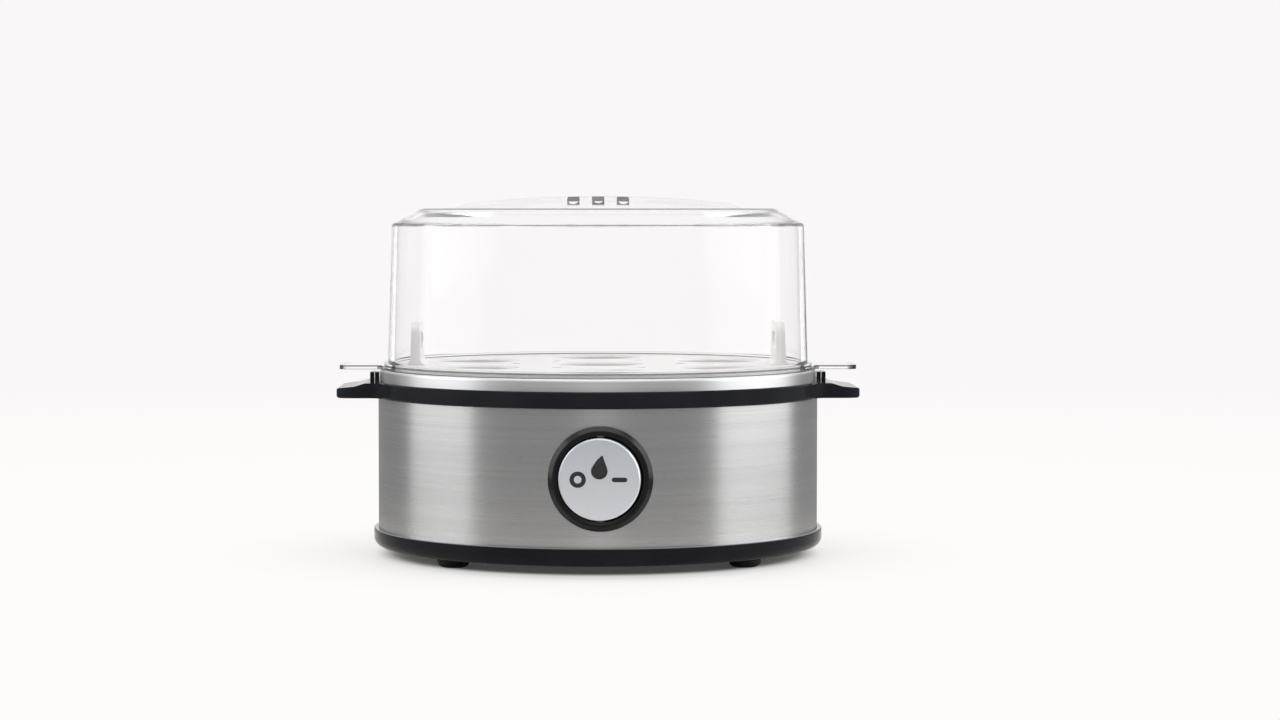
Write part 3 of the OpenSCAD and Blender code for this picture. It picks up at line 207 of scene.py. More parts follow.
soft_box("soft_box_left", (-1.43, -0.02, 0.35), width=1.22, height=1.9, radiance=1.85)
soft_box("soft_box_right", (1.42, -0.02, 0.35), width=1.48, height=1.9, radiance=2.15)
soft_box("soft_box_top", (0, -0.20, 1.5), width=1.5, height=1.1, radiance=1.2)


# ---------------------------------------------------------------- Base pan
# The base pan is one shallow moulding of black polypropylene. It closes the drum from below,
# carries the feet and shows as a rounded skirt under the steel.
def dress(finish, *names):
    """Gives these pieces that finish."""
    for name in names:
        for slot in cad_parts[name].material_slots:
            slot.material = finish


def moulded_plastic(name, light, dark, grain_mm, depth_mm, gloss, shine=0.5, film=0.0):
    """A spark-eroded moulding: fine grain in the gloss, and a slow drift of tone from its flow.

    shine is the strength of its own reflection, and film that of the weak one of its skin."""
    made, t = start_finish(name)
    spot = add(t, "TexCoord").outputs["Object"]
    grit = add(t, "TexNoise", {"Vector": spot, "Scale": 1000 / grain_mm, "Detail": 3.0})
    flow = add(t, "TexNoise", {"Vector": spot, "Scale": 1000 / 22.0, "Detail": 2.0})
    blend = add(t, "MapRange", {0: flow, 1: 0.35, 2: 0.65})
    tone = add(t, "Mix", {"Factor": blend, "A": linear(dark), "B": linear(light)},
               data_type="RGBA")
    sheen = add(t, "MapRange", {0: grit, 1: 0.3, 2: 0.7, 3: gloss - 0.03, 4: gloss + 0.04})
    bump = add(t, "Bump", {"Strength": 0.6, "Distance": depth_mm / 1000, "Height": grit})
    body = add(t, "BsdfPrincipled", {"Base Color": tone.outputs["Result"], "Roughness": sheen,
                                     "Normal": bump, "Specular IOR Level": shine,
                                     "Coat Weight": film, "Coat Roughness": 0.08,
                                     "Coat IOR": 1.10})
    add(t, "OutputMaterial", {0: body})
    return made


# Moulded polypropylene: a soft sheen broken by a fine grain, drawn coarse enough to show
black_polypropylene = moulded_plastic("moulded_polypropylene_black", "#202125", "#1b1c20",
                                      grain_mm=0.5, depth_mm=0.001, gloss=0.22, shine=0.03,
                                      film=1.0)
# The pan's upper edge is a narrow lip, and a painted highlight makes it paler all round, where it
# catches the light
LIP_Z = 0.01095
t = black_polypropylene.node_tree
body = next(node for node in t.nodes if node.type == "BSDF_PRINCIPLED")
mould = body.inputs["Base Color"].links[0].from_socket
height = add(t, "SeparateXYZ", {0: add(t, "TexCoord").outputs["Object"]}).outputs["Z"]
lip = add(t, "MapRange", {0: height, 1: LIP_Z, 2: LIP_Z + 0.0003, 3: 0.0, 4: 1.0})
painted_lip_highlight = add(t, "Mix", {"Factor": lip, "A": mould, "B": linear("#8d9095")}, data_type="RGBA")
t.links.new(painted_lip_highlight.outputs["Result"], body.inputs["Base Color"])
dress(black_polypropylene, "base_pan")

# ---------------------------------------------------------------- Feet
# Four domed feet of soft black rubber, each pressed into the pan by its stem. They are matt,
# with a bloom of grey dust where they touch the table.
DUST_TOP = 0.0022
nitrile_rubber, t = start_finish("moulded_nitrile_rubber")
spot = add(t, "TexCoord").outputs["Object"]
height = add(t, "SeparateXYZ", {0: spot}).outputs["Z"]
crumb = add(t, "TexNoise", {"Vector": spot, "Scale": 1000 / 0.7, "Detail": 4.0})
low = add(t, "MapRange", {0: height, 1: 0.0, 2: DUST_TOP, 3: 0.55, 4: 0.0})
dust = add(t, "Math", {0: low, 1: crumb}, operation="MULTIPLY")
tone = add(t, "Mix", {"Factor": dust, "A": linear("#131314"), "B": linear("#4a4947")},
           data_type="RGBA")
bump = add(t, "Bump", {"Strength": 0.5, "Distance": 0.00002, "Height": crumb})
body = add(t, "BsdfPrincipled", {"Base Color": tone.outputs["Result"], "Roughness": 0.72,
                                 "Normal": bump, "IOR": 1.52})
add(t, "OutputMaterial", {0: body})
dress(nitrile_rubber, "foot_front_left", "foot_front_right", "foot_rear_left", "foot_rear_right")


# ---------------------------------------------------------------- Drum
# The drum is one band of stainless steel sheet, brushed along its length, rolled round and
# welded at the back. Its long scratches spread each light into an upright band.
DRUM_R = 0.085
# A quarter turn of the stretch, so that highlights spread across the scratches
ACROSS = 0.25


def worked_metal(name, light, dark, scratch_mm, pitch_mm, rough, stretch, depth_mm):
    """Metal scratched round the upright axis, by brushing a rolled sheet or turning a dish."""
    made, t = start_finish(name)
    spot = add(t, "TexCoord").outputs["Object"]
    xyz = add(t, "SeparateXYZ", {0: spot})
    back = add(t, "Math", {0: xyz.outputs["Y"], 1: -1.0}, operation="MULTIPLY")
    angle = add(t, "Math", {0: xyz.outputs["X"], 1: back}, operation="ARCTAN2")
    flat = add(t, "VectorMath", {0: spot, 1: (1, 1, 0)}, operation="MULTIPLY")
    radius = add(t, "VectorMath", {0: flat}, operation="LENGTH").outputs["Value"]
    along = add(t, "Math", {0: angle, 1: 1000 * DRUM_R / scratch_mm}, operation="MULTIPLY")
    up = add(t, "Math", {0: xyz.outputs["Z"], 1: 1000 / pitch_mm}, operation="MULTIPLY")
    out = add(t, "Math", {0: radius, 1: 1000 / pitch_mm}, operation="MULTIPLY")
    lay = add(t, "CombineXYZ", {0: along, 1: up, 2: out})
    scratch = add(t, "TexNoise", {"Vector": lay, "Scale": 1.0, "Detail": 4.0, "Roughness": 0.65})
    broad = add(t, "TexNoise", {"Vector": lay, "Scale": 0.13, "Detail": 1.0})
    mixed = add(t, "Mix", {"Factor": 0.35, "A": scratch.outputs[0], "B": broad.outputs[0]})
    level = add(t, "MapRange", {0: mixed.outputs[0], 1: 0.32, 2: 0.68})
    tone = add(t, "Mix", {"Factor": level, "A": linear(dark), "B": linear(light)},
               data_type="RGBA")
    sheen = add(t, "MapRange", {0: scratch, 1: 0.3, 2: 0.7, 3: rough + 0.05, 4: rough - 0.05})
    bump = add(t, "Bump", {"Strength": 0.5, "Distance": depth_mm / 1000, "Height": scratch})
    round_axis = add(t, "Tangent", direction_type="RADIAL", axis="Z")
    body = add(t, "BsdfPrincipled", {"Base Color": tone.outputs["Result"], "Metallic": 1.0,
                                     "Roughness": sheen, "Anisotropic": stretch,
                                     "Anisotropic Rotation": ACROSS, "Normal": bump,
                                     "Tangent": round_axis})
    add(t, "OutputMaterial", {0: body})
    return made


# Brushed stainless steel: scratches some 40 mm long, a third of a millimetre apart so that
# they show, darker where they run deep
brushed_stainless = worked_metal("brushed_stainless_steel", "#d2d2d2", "#bfbfbf",
                                 scratch_mm=40, pitch_mm=0.30, rough=0.30, stretch=0.72,
                                 depth_mm=0.003)
dress(brushed_stainless, "body_shell")

# ---------------------------------------------------------------- Handle ring
# One moulding of black polypropylene clips round the drum's top and carries the two handles.
# Its grain is broader than the pan's and its tone a shade paler, as if polished by hands.
black_ring = moulded_plastic("moulded_polypropylene_black_polished", "#25262a", "#202126",
                             grain_mm=0.9, depth_mm=0.001, gloss=0.24, shine=0.0, film=1.0)
dress(black_ring, "handle_ring")

# ---------------------------------------------------------------- Rim gasket
# A cord of grey silicone seals the basin's rim on the drum. It is soft, slightly clear and
# dull, and only its edge shows between steel and steel.
silicone, t = start_finish("moulded_silicone_grey")
spot = add(t, "TexCoord").outputs["Object"]
cloud = add(t, "TexNoise", {"Vector": spot, "Scale": 1000 / 6.0, "Detail": 3.0})
tone = add(t, "Mix", {"Factor": cloud, "A": linear("#8b8c8d"), "B": linear("#a3a4a4")},
           data_type="RGBA")
skin = add(t, "TexNoise", {"Vector": spot, "Scale": 1000 / 0.4, "Detail": 2.0})
bump = add(t, "Bump", {"Strength": 0.4, "Distance": 0.00001, "Height": skin})
body = add(t, "BsdfPrincipled", {"Base Color": tone.outputs["Result"], "Roughness": 0.55,
                                 "Subsurface Weight": 0.2, "Subsurface Scale": 0.001,
                                 "Normal": bump, "IOR": 1.41})
add(t, "OutputMaterial", {0: body})
dress(silicone, "rim_gasket")

# ---------------------------------------------------------------- Water basin
# The basin is pressed from stainless steel and turned to a satin finish, so its scratches run
# in rings. Its rolled rim is the bright band above the black ring.
satin_stainless = worked_metal("satin_turned_stainless_steel", "#e9eaeb", "#dddedf",
                               scratch_mm=60, pitch_mm=0.30, rough=0.46, stretch=0.82,
                               depth_mm=0.002)
dress(satin_stainless, "water_basin")


# ---------------------------------------------------------------- Heating plate and tube
# A cast aluminium plate spreads the heat of a bent steel tube that is brazed under it. The
# tube's ends leave through glazed ceramic beads round plated pins.
def plain_metal(name, light, dark, cloud_mm, rough, grain_mm=0.4, depth_mm=0.01):
    """Metal with no lay: rolled, cast, drawn or plated, clouded in tone and in gloss."""
    made, t = start_finish(name)
    spot = add(t, "TexCoord").outputs["Object"]
    cloud = add(t, "TexNoise", {"Vector": spot, "Scale": 1000 / cloud_mm, "Detail": 3.0})
    grit = add(t, "TexNoise", {"Vector": spot, "Scale": 1000 / grain_mm, "Detail": 2.0})
    blend = add(t, "MapRange", {0: cloud, 1: 0.35, 2: 0.65})
    tone = add(t, "Mix", {"Factor": blend, "A": linear(dark), "B": linear(light)},
               data_type="RGBA")
    sheen = add(t, "MapRange", {0: cloud, 1: 0.3, 2: 0.7, 3: rough + 0.08, 4: rough - 0.06})
    bump = add(t, "Bump", {"Strength": 0.5, "Distance": depth_mm / 1000, "Height": grit})
    body = add(t, "BsdfPrincipled", {"Base Color": tone.outputs["Result"], "Metallic": 1.0,
                                     "Roughness": sheen, "Normal": bump})
    add(t, "OutputMaterial", {0: body})
    return made


# Die-cast aluminium: pale, dull, with the faint orange peel of the die
cast_aluminium = plain_metal("die_cast_aluminium", "#cfd1d2", "#b2b4b6", cloud_mm=9,
                             rough=0.42, grain_mm=0.9, depth_mm=0.03)
dress(cast_aluminium, "heat_spreader")
# Annealed stainless tube: straw and brown heat tints drift along it
annealed_tube = plain_metal("annealed_stainless_tube", "#a09688", "#6d655f", cloud_mm=12,
                            rough=0.34)
dress(annealed_tube, "heating_element")
# Glazed steatite: hard, white and glossy, with a few grey specks under the glaze
steatite, t = start_finish("glazed_steatite")
spot = add(t, "TexCoord").outputs["Object"]
speck = add(t, "TexVoronoi", {"Vector": spot, "Scale": 1000 / 1.6})
fleck = add(t, "MapRange", {0: speck.outputs["Distance"], 1: 0.05, 2: 0.12, 3: 1.0, 4: 0.0})
tone = add(t, "Mix", {"Factor": fleck, "A": linear("#ebe7dc"), "B": linear("#8d8879")},
           data_type="RGBA")
wave = add(t, "TexNoise", {"Vector": spot, "Scale": 1000 / 3.0, "Detail": 1.0})
bump = add(t, "Bump", {"Strength": 0.3, "Distance": 0.00003, "Height": wave})
body = add(t, "BsdfPrincipled", {"Base Color": tone.outputs["Result"], "Roughness": 0.16,
                                 "Normal": bump, "IOR": 1.55})
add(t, "OutputMaterial", {0: body})
dress(steatite, "terminal_beads")
# Bright zinc plating: bluish, with a slight cloud
zinc_plate = plain_metal("zinc_plated_steel", "#c9ced3", "#aab0b6", cloud_mm=4, rough=0.24)
dress(zinc_plate, "terminal_pins")

# ---------------------------------------------------------------- Stand-offs and tie screws
# Three hexagon stand-offs and their screws hold plate, shield and pan together. All are
# turned from steel and zinc plated.
dress(zinc_plate, "standoffs", "tie_screws")

# ---------------------------------------------------------------- Heat shield
# A disc of rolled aluminium sheet under the tube throws the heat back up. Rolling leaves
# straight, hardly visible lines.
rolled_aluminium, t = start_finish("rolled_aluminium_sheet")
spot = add(t, "TexCoord").outputs["Object"]
lay = add(t, "Mapping", {"Vector": spot, "Scale": (1000 / 60.0, 1000 / 0.5, 1000 / 60.0)})
lines = add(t, "TexNoise", {"Vector": lay, "Scale": 1.0, "Detail": 3.0})
tone = add(t, "Mix", {"Factor": lines, "A": linear("#b9bbbd"), "B": linear("#dcdddd")},
           data_type="RGBA")
bump = add(t, "Bump", {"Strength": 0.5, "Distance": 0.000006, "Height": lines})
body = add(t, "BsdfPrincipled", {"Base Color": tone.outputs["Result"], "Metallic": 1.0,
                                 "Roughness": 0.3, "Normal": bump})
add(t, "OutputMaterial", {0: body})
dress(rolled_aluminium, "heat_shield")

# ---------------------------------------------------------------- Thermostat and thermal fuse
# A ceramic thermostat sits on the plate under a plated clip, and a thermal fuse in a braided
# glass-fibre sleeve lies beside it under a second clip.
dress(steatite, "thermostat")
dress(zinc_plate, "thermostat_clip", "clip_screws", "fuse_clip", "fuse_screw")
# Stamped brass: warm and fairly bright, browner in patches
stamped_brass = plain_metal("stamped_brass", "#c8a65a", "#9c7c3c", cloud_mm=5, rough=0.30)
dress(stamped_brass, "thermal_fuse")
# Braided glass fibre: matt off-white, two sets of strands about a millimetre wide crossing
glass_braid, t = start_finish("braided_glass_fibre")
spot = add(t, "TexCoord").outputs["Object"]
# A wave of scale 1 has bands a twentieth of a unit wide
STRAND_SCALE = 1000 / 1.1 / 20
strands = []
for tilt in (0.9, -0.9):
    turned = add(t, "Mapping", {"Vector": spot, "Rotation": (tilt, tilt, 0.4)})
    strands.append(add(t, "TexWave", {"Vector": turned, "Scale": STRAND_SCALE,
                                      "Distortion": 0.6, "Detail": 1.0},
                       bands_direction="DIAGONAL"))
cross = add(t, "Math", {0: strands[0].outputs["Fac"], 1: strands[1].outputs["Fac"]},
            operation="MAXIMUM")
tone = add(t, "Mix", {"Factor": cross, "A": linear("#b9b3a4"), "B": linear("#efeade")},
           data_type="RGBA")
bump = add(t, "Bump", {"Strength": 0.8, "Distance": 0.00012, "Height": cross})
body = add(t, "BsdfPrincipled", {"Base Color": tone.outputs["Result"], "Roughness": 0.82,
                                 "Normal": bump, "Sheen Weight": 0.3})
add(t, "OutputMaterial", {0: body})
dress(glass_braid, "fuse_sleeve")

# ---------------------------------------------------------------- Switch bezel
# The bezel is a round collar of black ABS, polished in the mould. Its lip catches the light
# along the top, round a darker step that drops to the button.
gloss_abs = moulded_plastic("polished_abs_black", "#181819", "#111213", grain_mm=0.6,
                            depth_mm=0.001, gloss=0.22, shine=0.32)
dress(gloss_abs, "switch_bezel")

# ---------------------------------------------------------------- Switch button
# The round button rocks about an upright pin. It is moulded in ABS and lacquered silver, a
# lacquer with fine metal flakes. Painted shade makes it paler towards its foot and darker towards
# its top.
BUTTON_FOOT, BUTTON_HEAD = 0.0217, 0.0514
silver_lacquer, t = start_finish("silver_lacquered_abs")
spot = add(t, "TexCoord").outputs["Object"]
height = add(t, "SeparateXYZ", {0: spot}).outputs["Z"]
flake = add(t, "TexVoronoi", {"Vector": spot, "Scale": 1000 / 0.30})
glint = add(t, "SeparateColor", {0: flake.outputs["Color"]}).outputs[0]
# Painted shade: the lacquer's colour darkens from the button's foot up to its head
painted_shade_rise = add(t, "MapRange", {0: height, 1: BUTTON_FOOT, 2: BUTTON_HEAD})
lacquer_with_painted_shade = add(t, "Mix", {"Factor": painted_shade_rise, "A": linear("#e9eef4"), "B": linear("#c9cfd8")},
           data_type="RGBA")
spark = add(t, "MapRange", {0: glint, 3: 0.985, 4: 1.02})
tone = add(t, "VectorMath", {0: lacquer_with_painted_shade.outputs["Result"], "Scale": spark}, operation="SCALE")
sheen = add(t, "MapRange", {0: glint, 3: 0.30, 4: 0.34})
body = add(t, "BsdfPrincipled", {"Base Color": tone, "Metallic": 0.35, "Roughness": sheen,
                                 "Coat Weight": 0.12, "Coat Roughness": 0.12, "IOR": 1.5})
add(t, "OutputMaterial", {0: body})
dress(silver_lacquer, "switch_rocker")

# ---------------------------------------------------------------- Marks on the button
# A ring for off and a bar for on are pad printed in dark grey ink, one each side of the
# pivot. Each is a film a few hundredths of a millimetre thick.
SWITCH_Z = 0.03655
# The button's pins lie behind the drum's front, and at rest it is tilted about them
PIN_DEPTH, REST_TILT = 0.0026, -4
FACE, FILM = 0.004, 0.00004
button = (Matrix.Translation((0, -DRUM_R, SWITCH_Z)) @ Matrix.Rotation(math.radians(90), 4, "X")
          @ Matrix.Translation((0, 0, -PIN_DEPTH))
          @ Matrix.Rotation(math.radians(REST_TILT), 4, "Y")
          @ Matrix.Translation((0, 0, PIN_DEPTH)))
# Pad printing ink: a matt, slightly porous dark grey
pad_ink, t = start_finish("pad_printed_ink_grey")
spot = add(t, "TexCoord").outputs["Object"]
pore = add(t, "TexNoise", {"Vector": spot, "Scale": 1000 / 0.35, "Detail": 3.0})
tone = add(t, "Mix", {"Factor": pore, "A": linear("#212427"), "B": linear("#2b2f32")},
           data_type="RGBA")
bump = add(t, "Bump", {"Strength": 0.4, "Distance": 0.000008, "Height": pore})
body = add(t, "BsdfPrincipled", {"Base Color": tone.outputs["Result"], "Roughness": 0.42,
                                 "Normal": bump})
add(t, "OutputMaterial", {0: body})


def print_mark(name, outer, inner):
    """Prints the band between two loops of the same length, or the area of outer alone."""
    b = bmesh.new()
    levels = []
    for z in (FACE - FILM / 2, FACE + FILM):
        loops = [[b.verts.new((x, y, z)) for x, y in loop] for loop in (outer, inner) if loop]
        levels.append(loops)
    count = len(outer)
    for k in range(count):
        j = (k + 1) % count
        for ring in range(len(levels[0])):
            low, high = levels[0][ring], levels[1][ring]
            quad = (low[k], low[j], high[j], high[k])
            b.faces.new(quad if ring == 0 else quad[::-1])
        if inner:
            for level, flip in ((levels[0], True), (levels[1], False)):
                quad = (level[0][k], level[0][j], level[1][j], level[1][k])
                b.faces.new(quad[::-1] if flip else quad)
    if not inner:
        b.faces.new(levels[1][0])
        b.faces.new(levels[0][0][::-1])
    b.transform(button)
    mesh = bpy.data.meshes.new(name)
    b.to_mesh(mesh)
    b.free()
    mesh.materials.append(pad_ink)
    made = bpy.data.objects.new(name, mesh)
    scene.collection.objects.link(made)
    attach(made, "rocker")


RING_X, RING_OUT, RING_IN = -0.0078, 0.00295, 0.0014
turn = [2 * math.pi * k / 48 for k in range(48)]
print_mark("mark_off", [(RING_X + RING_OUT * math.cos(a), RING_OUT * math.sin(a)) for a in turn],
           [(RING_X + RING_IN * math.cos(a), RING_IN * math.sin(a)) for a in turn])
BAR_X, BAR_L, BAR_R = 0.0073, 0.0056, 0.00083
half = BAR_L / 2 - BAR_R
print_mark("mark_on", [(BAR_X + math.copysign(half, math.cos(a)) + BAR_R * math.cos(a),
                        BAR_R * math.sin(a)) for a in (v + 0.01 for v in turn)], None)

# ---------------------------------------------------------------- Indicator lens and lamp
# A drop-shaped window of smoked acrylic is pressed into the button, and a small neon lamp
# behind it glows when the plate heats.
# Smoked acrylic: nearly black, with a soft shine and a little light let through
smoked_acrylic, t = start_finish("smoked_acrylic")
spot = add(t, "TexCoord").outputs["Object"]
cloud = add(t, "TexNoise", {"Vector": spot, "Scale": 1000 / 2.5, "Detail": 2.0})
tone = add(t, "Mix", {"Factor": cloud, "A": linear("#2c2a2c"), "B": linear("#3d3a3c")},
           data_type="RGBA")
body = add(t, "BsdfPrincipled", {"Base Color": tone.outputs["Result"], "Roughness": 0.22,
                                 "Transmission Weight": 0.15, "IOR": 1.49})
add(t, "OutputMaterial", {0: body})
dress(smoked_acrylic, "indicator_lens")
# Soda glass of the neon lamp: clear and faintly orange, drawn to a pip at one end
lamp_glass, t = start_finish("drawn_soda_glass")
spot = add(t, "TexCoord").outputs["Object"]
drawn = add(t, "TexNoise", {"Vector": spot, "Scale": 1000 / 1.5, "Detail": 1.0})
tone = add(t, "Mix", {"Factor": drawn, "A": linear("#f3cfb6"), "B": linear("#f9e2d3")},
           data_type="RGBA")
body = add(t, "BsdfPrincipled", {"Base Color": tone.outputs["Result"], "Roughness": 0.05,
                                 "Transmission Weight": 0.8, "IOR": 1.52})
add(t, "OutputMaterial", {0: body})
dress(lamp_glass, "indicator_lamp")

# ---------------------------------------------------------------- Switch works
# Behind the button, a sprung plunger presses a copper lever across the fixed contacts, in a
# black glass-filled housing that clamps the bezel to the drum.
# Acetal: a creamy white with a low, waxy sheen
white_acetal = moulded_plastic("moulded_acetal_white", "#e3ddcf", "#d5cfc0", grain_mm=0.5,
                               depth_mm=0.006, gloss=0.36)
dress(white_acetal, "switch_plunger")
dress(zinc_plate, "plunger_spring")
# Glass-filled nylon: greyish black and dull, because its fibres roughen the skin
filled_nylon = moulded_plastic("glass_filled_nylon_black", "#2b2d30", "#202224", grain_mm=0.6,
                               depth_mm=0.02, gloss=0.5)
dress(filled_nylon, "switch_housing")
# Rolled copper: salmon pink and fairly bright, browner in patches
rolled_copper = plain_metal("rolled_copper", "#c98d66", "#9c6040", cloud_mm=5, rough=0.28)
dress(rolled_copper, "contact_lever")
dress(stamped_brass, "common_terminal", "fixed_terminals")

# ---------------------------------------------------------------- Mains terminal block
# A white block behind the cord inlet joins the lead to the inner wires, with brass sleeves
# and plated grub screws.
dress(white_acetal, "terminal_block")
dress(stamped_brass, "terminal_inserts")
dress(zinc_plate, "terminal_screws")

# ---------------------------------------------------------------- Cord bush
# A bush of soft black vinyl lines the hole at the back where the lead enters. It is matt and
# a little rubbery to the eye.
soft_vinyl = moulded_plastic("moulded_vinyl_black", "#1d1e20", "#151617", grain_mm=0.7,
                             depth_mm=0.02, gloss=0.55)
dress(soft_vinyl, "cord_bush")

# ---------------------------------------------------------------- Inner leads
# Five short leads join block, switch, thermostat, fuse and tube. Each runs in a sleeve of
# woven glass fibre that stands the heat of the plate.
dress(glass_braid, "wiring")

# ---------------------------------------------------------------- Egg tray
# The tray is moulded in polypropylene with no pigment, so it is milky and slightly
# see-through, with a soft sheen over a fine grain. Part of the light passes through it.
natural_polypropylene, t = start_finish("moulded_polypropylene_natural")
spot = add(t, "TexCoord").outputs["Object"]
cloud = add(t, "TexNoise", {"Vector": spot, "Scale": 1000 / 18.0, "Detail": 3.0})
grit = add(t, "TexNoise", {"Vector": spot, "Scale": 1000 / 0.7, "Detail": 2.0})
tone = add(t, "Mix", {"Factor": cloud, "A": linear("#dad9d8"), "B": linear("#e4e3e2")},
           data_type="RGBA")
sheen = add(t, "MapRange", {0: grit, 1: 0.3, 2: 0.7, 3: 0.29, 4: 0.35})
bump = add(t, "Bump", {"Strength": 0.15, "Distance": 0.00001, "Height": grit})
body = add(t, "BsdfPrincipled", {"Base Color": tone.outputs["Result"], "Roughness": sheen,
                                 "Transmission Weight": 0.30, "Normal": bump, "IOR": 1.40})
clear = add(t, "BsdfTransparent", {0: linear("#d8dadb")})
ray = add(t, "LightPath")
part_way = add(t, "Math", {0: ray.outputs["Is Shadow Ray"], 1: 0.55}, operation="MULTIPLY")
both = add(t, "MixShader", {0: part_way, 1: body, 2: clear})
add(t, "OutputMaterial", {0: both})
dress(natural_polypropylene, "egg_tray")

# ---------------------------------------------------------------- Lid
# The lid is one thick moulding of clear SAN, polished in the mould, with a hollow grip on its
# roof and three steam holes. Its faces are clear, and it shows by painted dark lines at its edges,
# painted shade where light is caught inside it: at brim, tabs, shoulder, crest and steam holes.

# Heights of its edges above the table, in metres
BRIM_FOOT, TAB_TOP, BRIM_TOP, WALL_FOOT = 0.07265, 0.0741, 0.0750, 0.0765
SHOULDER, ROOF_FOOT, CREST = 0.1279, 0.1306, 0.13385
GRIP_FOOT, VENT_DARK = 0.1345, 0.1352
# Radii of brim, crest and roof, and the tabs' roots, tips and sides
BRIM_R, CREST_R, ROOF_R = 0.0826, 0.0650, 0.0680
TAB_ROOT, TAB_TIP = 0.0847, 0.0976
TAB_SIDE_IN, TAB_SIDE_OUT = 0.0123, 0.0137
# The steam holes stand in a row along X, on the grip's front flank
VENT_R, VENT_PITCH, VENT_Y, VENT_ROW = 0.00235, 0.0095, -0.0114, 0.0140
# Past this radius lies the wall's outer face, once its lean is taken back
OUTER_R, LEAN, LEAN_AT_TABLE = 0.0802, 0.0289, -0.0022
# Depth of the painted shade: 1 is fully the dark colour
CLEAR, PAINTED_LINE_COLOUR = "#ffffff", "#1c1d1f"


def level_line(t, height, level, solid, gone, depth):
    """Draws a line at one height: that deep within solid of it, and nothing past gone."""
    off = add(t, "Math", {0: height, 1: level}, operation="SUBTRACT")
    off = add(t, "Math", {0: off}, operation="ABSOLUTE")
    return add(t, "MapRange", {0: off, 1: solid, 2: gone, 3: depth, 4: 0.0})


def joined(t, operation, first, *others):
    """Joins several values into one by the same operation, one after another."""
    for other in others:
        first = add(t, "Math", {0: first, 1: other}, operation=operation)
    return first


clear_san, t = start_finish("polished_clear_san")
spot = add(t, "TexCoord").outputs["Object"]
xyz = add(t, "SeparateXYZ", {0: spot})
height = xyz.outputs["Z"]
outward = add(t, "Math", {0: xyz.outputs["X"]}, operation="ABSOLUTE")
aside = add(t, "Math", {0: xyz.outputs["Y"]}, operation="ABSOLUTE")
flat = add(t, "VectorMath", {0: spot, 1: (1, 1, 0)}, operation="MULTIPLY")
radius = add(t, "VectorMath", {0: flat}, operation="LENGTH").outputs["Value"]

# A faint swirl from the filling of the mould drifts in its polish
swirl = add(t, "TexNoise", {"Vector": spot, "Scale": 1000 / 30.0, "Detail": 1.0})
wave = add(t, "MapRange", {0: swirl, 1: 0.3, 2: 0.7, 3: 0.004, 4: 0.012})
bump = add(t, "Bump", {"Strength": 0.05, "Distance": 0.0001, "Height": swirl})

# Brim: painted dark lines at its foot, at the tabs' level and at its top, on the upright faces
# only
normal = add(t, "SeparateXYZ", {0: add(t, "NewGeometry").outputs["Normal"]})
slope = add(t, "Math", {0: normal.outputs["Z"]}, operation="ABSOLUTE")
upright = add(t, "MapRange", {0: slope, 1: 0.3, 2: 0.6, 3: 1.0, 4: 0.0})
brim = add(t, "MapRange", {0: radius, 1: BRIM_R, 2: BRIM_R + 0.0002})
foot = add(t, "MapRange", {0: height, 1: BRIM_FOOT, 2: BRIM_FOOT + 0.00025, 3: 0.8, 4: 0.0})
lines = joined(t, "MAXIMUM", foot, level_line(t, height, TAB_TOP, 0.0002, 0.0004, 0.9),
               level_line(t, height, BRIM_TOP, 0.0002, 0.0004, 0.3))
lines = joined(t, "MULTIPLY", lines, brim, upright)

# Tabs: painted dark tips, and a painted shade spot low on the brim where each side of a tab joins
# it
tip = add(t, "MapRange", {0: outward, 1: TAB_TIP, 2: TAB_TIP + 0.0005})
joint = add(t, "MapRange", {0: outward, 1: TAB_ROOT, 2: TAB_ROOT + 0.0003, 3: 0.9, 4: 0.0})
for sign, side in ((1, TAB_SIDE_IN), (-1, -TAB_SIDE_OUT)):
    past = add(t, "Math", {0: aside, 1: sign}, operation="MULTIPLY")
    past = add(t, "MapRange", {0: past, 1: side, 2: side + 0.0002})
    joint = joined(t, "MULTIPLY", joint, past)
tab_edge = add(t, "MapRange", {0: height, 1: TAB_TOP, 2: TAB_TOP + 0.0002, 3: 1.0, 4: 0.0})
joint = joined(t, "MULTIPLY", joint, tab_edge, brim)

# Steam holes: the upper part of their walls is painted dark, up to their mouths in the grip's
# flank
column = add(t, "Math", {0: xyz.outputs["X"], 1: VENT_PITCH / 2, 2: -VENT_PITCH / 2},
             operation="WRAP")
row = add(t, "Math", {0: xyz.outputs["Y"], 1: -VENT_Y}, operation="ADD")
near = add(t, "CombineXYZ", {0: column, 1: row})
near = add(t, "VectorMath", {0: near}, operation="LENGTH").outputs["Value"]
bore = add(t, "MapRange", {0: near, 1: VENT_R, 2: VENT_R + 0.0001, 3: 0.8, 4: 0.0})
middle = add(t, "MapRange", {0: outward, 1: VENT_ROW, 2: VENT_ROW + 0.0002, 3: 1.0, 4: 0.0})
above = add(t, "MapRange", {0: height, 1: VENT_DARK, 2: VENT_DARK + 0.0005})
bore = joined(t, "MULTIPLY", bore, middle, above)

# Shoulder and crest: a thin painted dark line where the wall turns in, and one round the roof's
# edge
shoulder = level_line(t, height, SHOULDER, 0.0001, 0.0003, 0.5)
crest = level_line(t, height, CREST, 0.0002, 0.0004, 0.75)
outer = add(t, "MapRange", {0: radius, 1: CREST_R, 2: CREST_R + 0.0005})
crest = joined(t, "MULTIPLY", crest, outer)
painted_lines_and_shade = joined(t, "MAXIMUM", lines, tip, bore, joint, shoulder, crest)
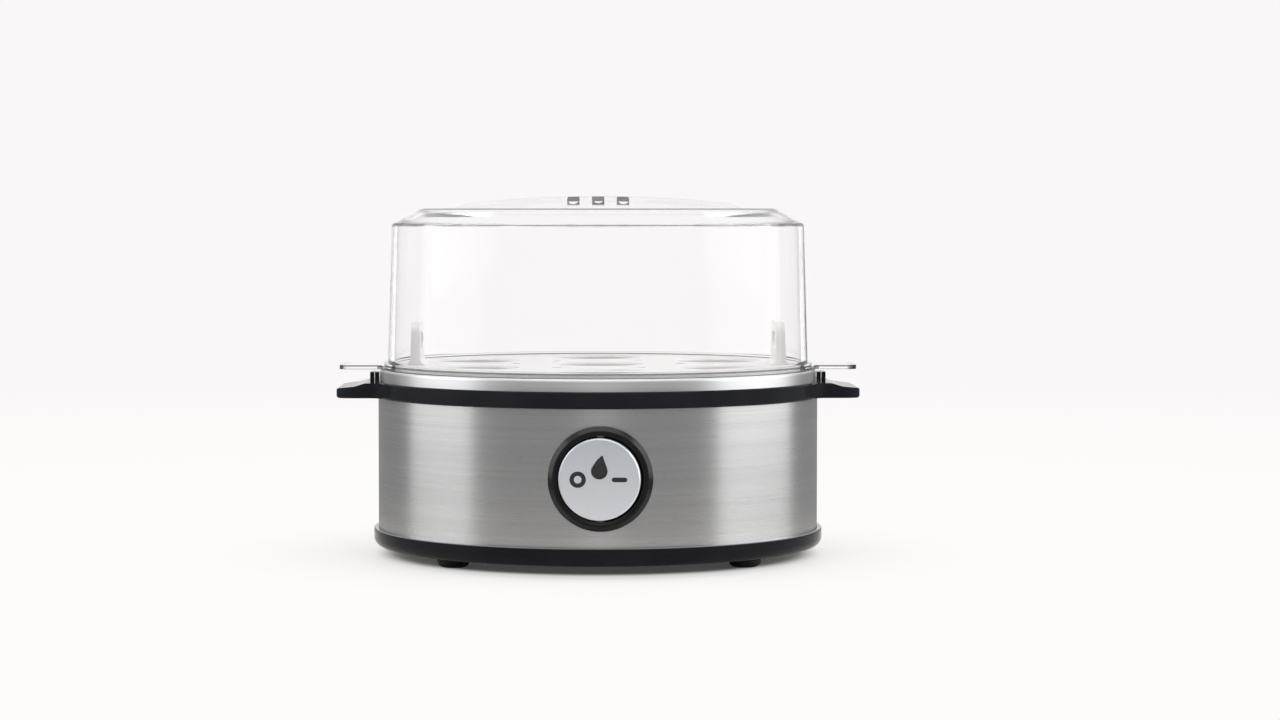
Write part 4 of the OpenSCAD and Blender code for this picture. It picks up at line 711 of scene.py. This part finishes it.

# Wall and grip: both are painted darker where they are seen edge on, the wall on its outer face
# only
facing = add(t, "LayerWeight", {"Blend": 0.5}).outputs["Facing"]
edge_on = add(t, "MapRange", {0: facing, 1: 0.70, 2: 1.0, 3: 0.0, 4: 0.38})
draft = add(t, "Math", {0: height, 1: LEAN, 2: LEAN_AT_TABLE}, operation="MULTIPLY_ADD")
outside = joined(t, "ADD", radius, draft)
outside = add(t, "MapRange", {0: outside, 1: OUTER_R, 2: OUTER_R + 0.0003})
over_brim = add(t, "MapRange", {0: height, 1: WALL_FOOT, 2: WALL_FOOT + 0.0015})
edge_on = joined(t, "MULTIPLY", edge_on, outside, over_brim)
grip = add(t, "MapRange", {0: height, 1: GRIP_FOOT, 2: GRIP_FOOT + 0.0003, 3: 0.0, 4: 0.85})
# Painted shade: the grip's outline darkens where it is seen edge on
skin = add(t, "MapRange", {0: facing, 1: 0.93, 2: 0.99})
skin = joined(t, "MULTIPLY", skin, grip)
painted_lines_and_shade = joined(t, "MAXIMUM", painted_lines_and_shade, edge_on, skin)
tint = add(t, "Mix", {"Factor": painted_lines_and_shade, "A": linear(CLEAR), "B": linear(PAINTED_LINE_COLOUR)},
           data_type="RGBA")

# Where several faces lie close together, at the shoulder and in roof and grip, most of the
# light goes straight through, so that no false dark or bright streak is caught between them
fold = level_line(t, height, SHOULDER, 0.0003, 0.0008, 0.6)
top = add(t, "MapRange", {0: height, 1: ROOF_FOOT, 2: ROOF_FOOT + 0.0004, 3: 0.0, 4: 0.75})
roof = add(t, "MapRange", {0: radius, 1: ROOF_R, 2: ROOF_R + 0.0006, 3: 1.0, 4: 0.0})
top = joined(t, "MULTIPLY", top, roof)
through = joined(t, "MAXIMUM", fold, top)
polish = add(t, "MapRange", {0: top, 1: 0.0, 2: 0.75, 3: 1.0, 4: 0.3})
body = add(t, "BsdfPrincipled", {"Base Color": tint.outputs["Result"], "Roughness": wave,
                                 "Transmission Weight": 1.0, "Normal": bump, "IOR": 1.09,
                                 "Coat Weight": polish, "Coat Roughness": 0.02,
                                 "Coat IOR": 1.12})
straight = add(t, "BsdfTransparent", {0: tint.outputs["Result"]})
body = add(t, "MixShader", {0: through, 1: body, 2: straight})
clear = add(t, "BsdfTransparent", {0: linear("#f4f6f6")})
ray = add(t, "LightPath")
both = add(t, "MixShader", {0: ray.outputs["Is Shadow Ray"], 1: body, 2: clear})
dim = add(t, "VolumeAbsorption", {0: linear("#bfc4c6"), 1: 4.0})
add(t, "OutputMaterial", {0: both, 1: dim})
dress(clear_san, "lid")
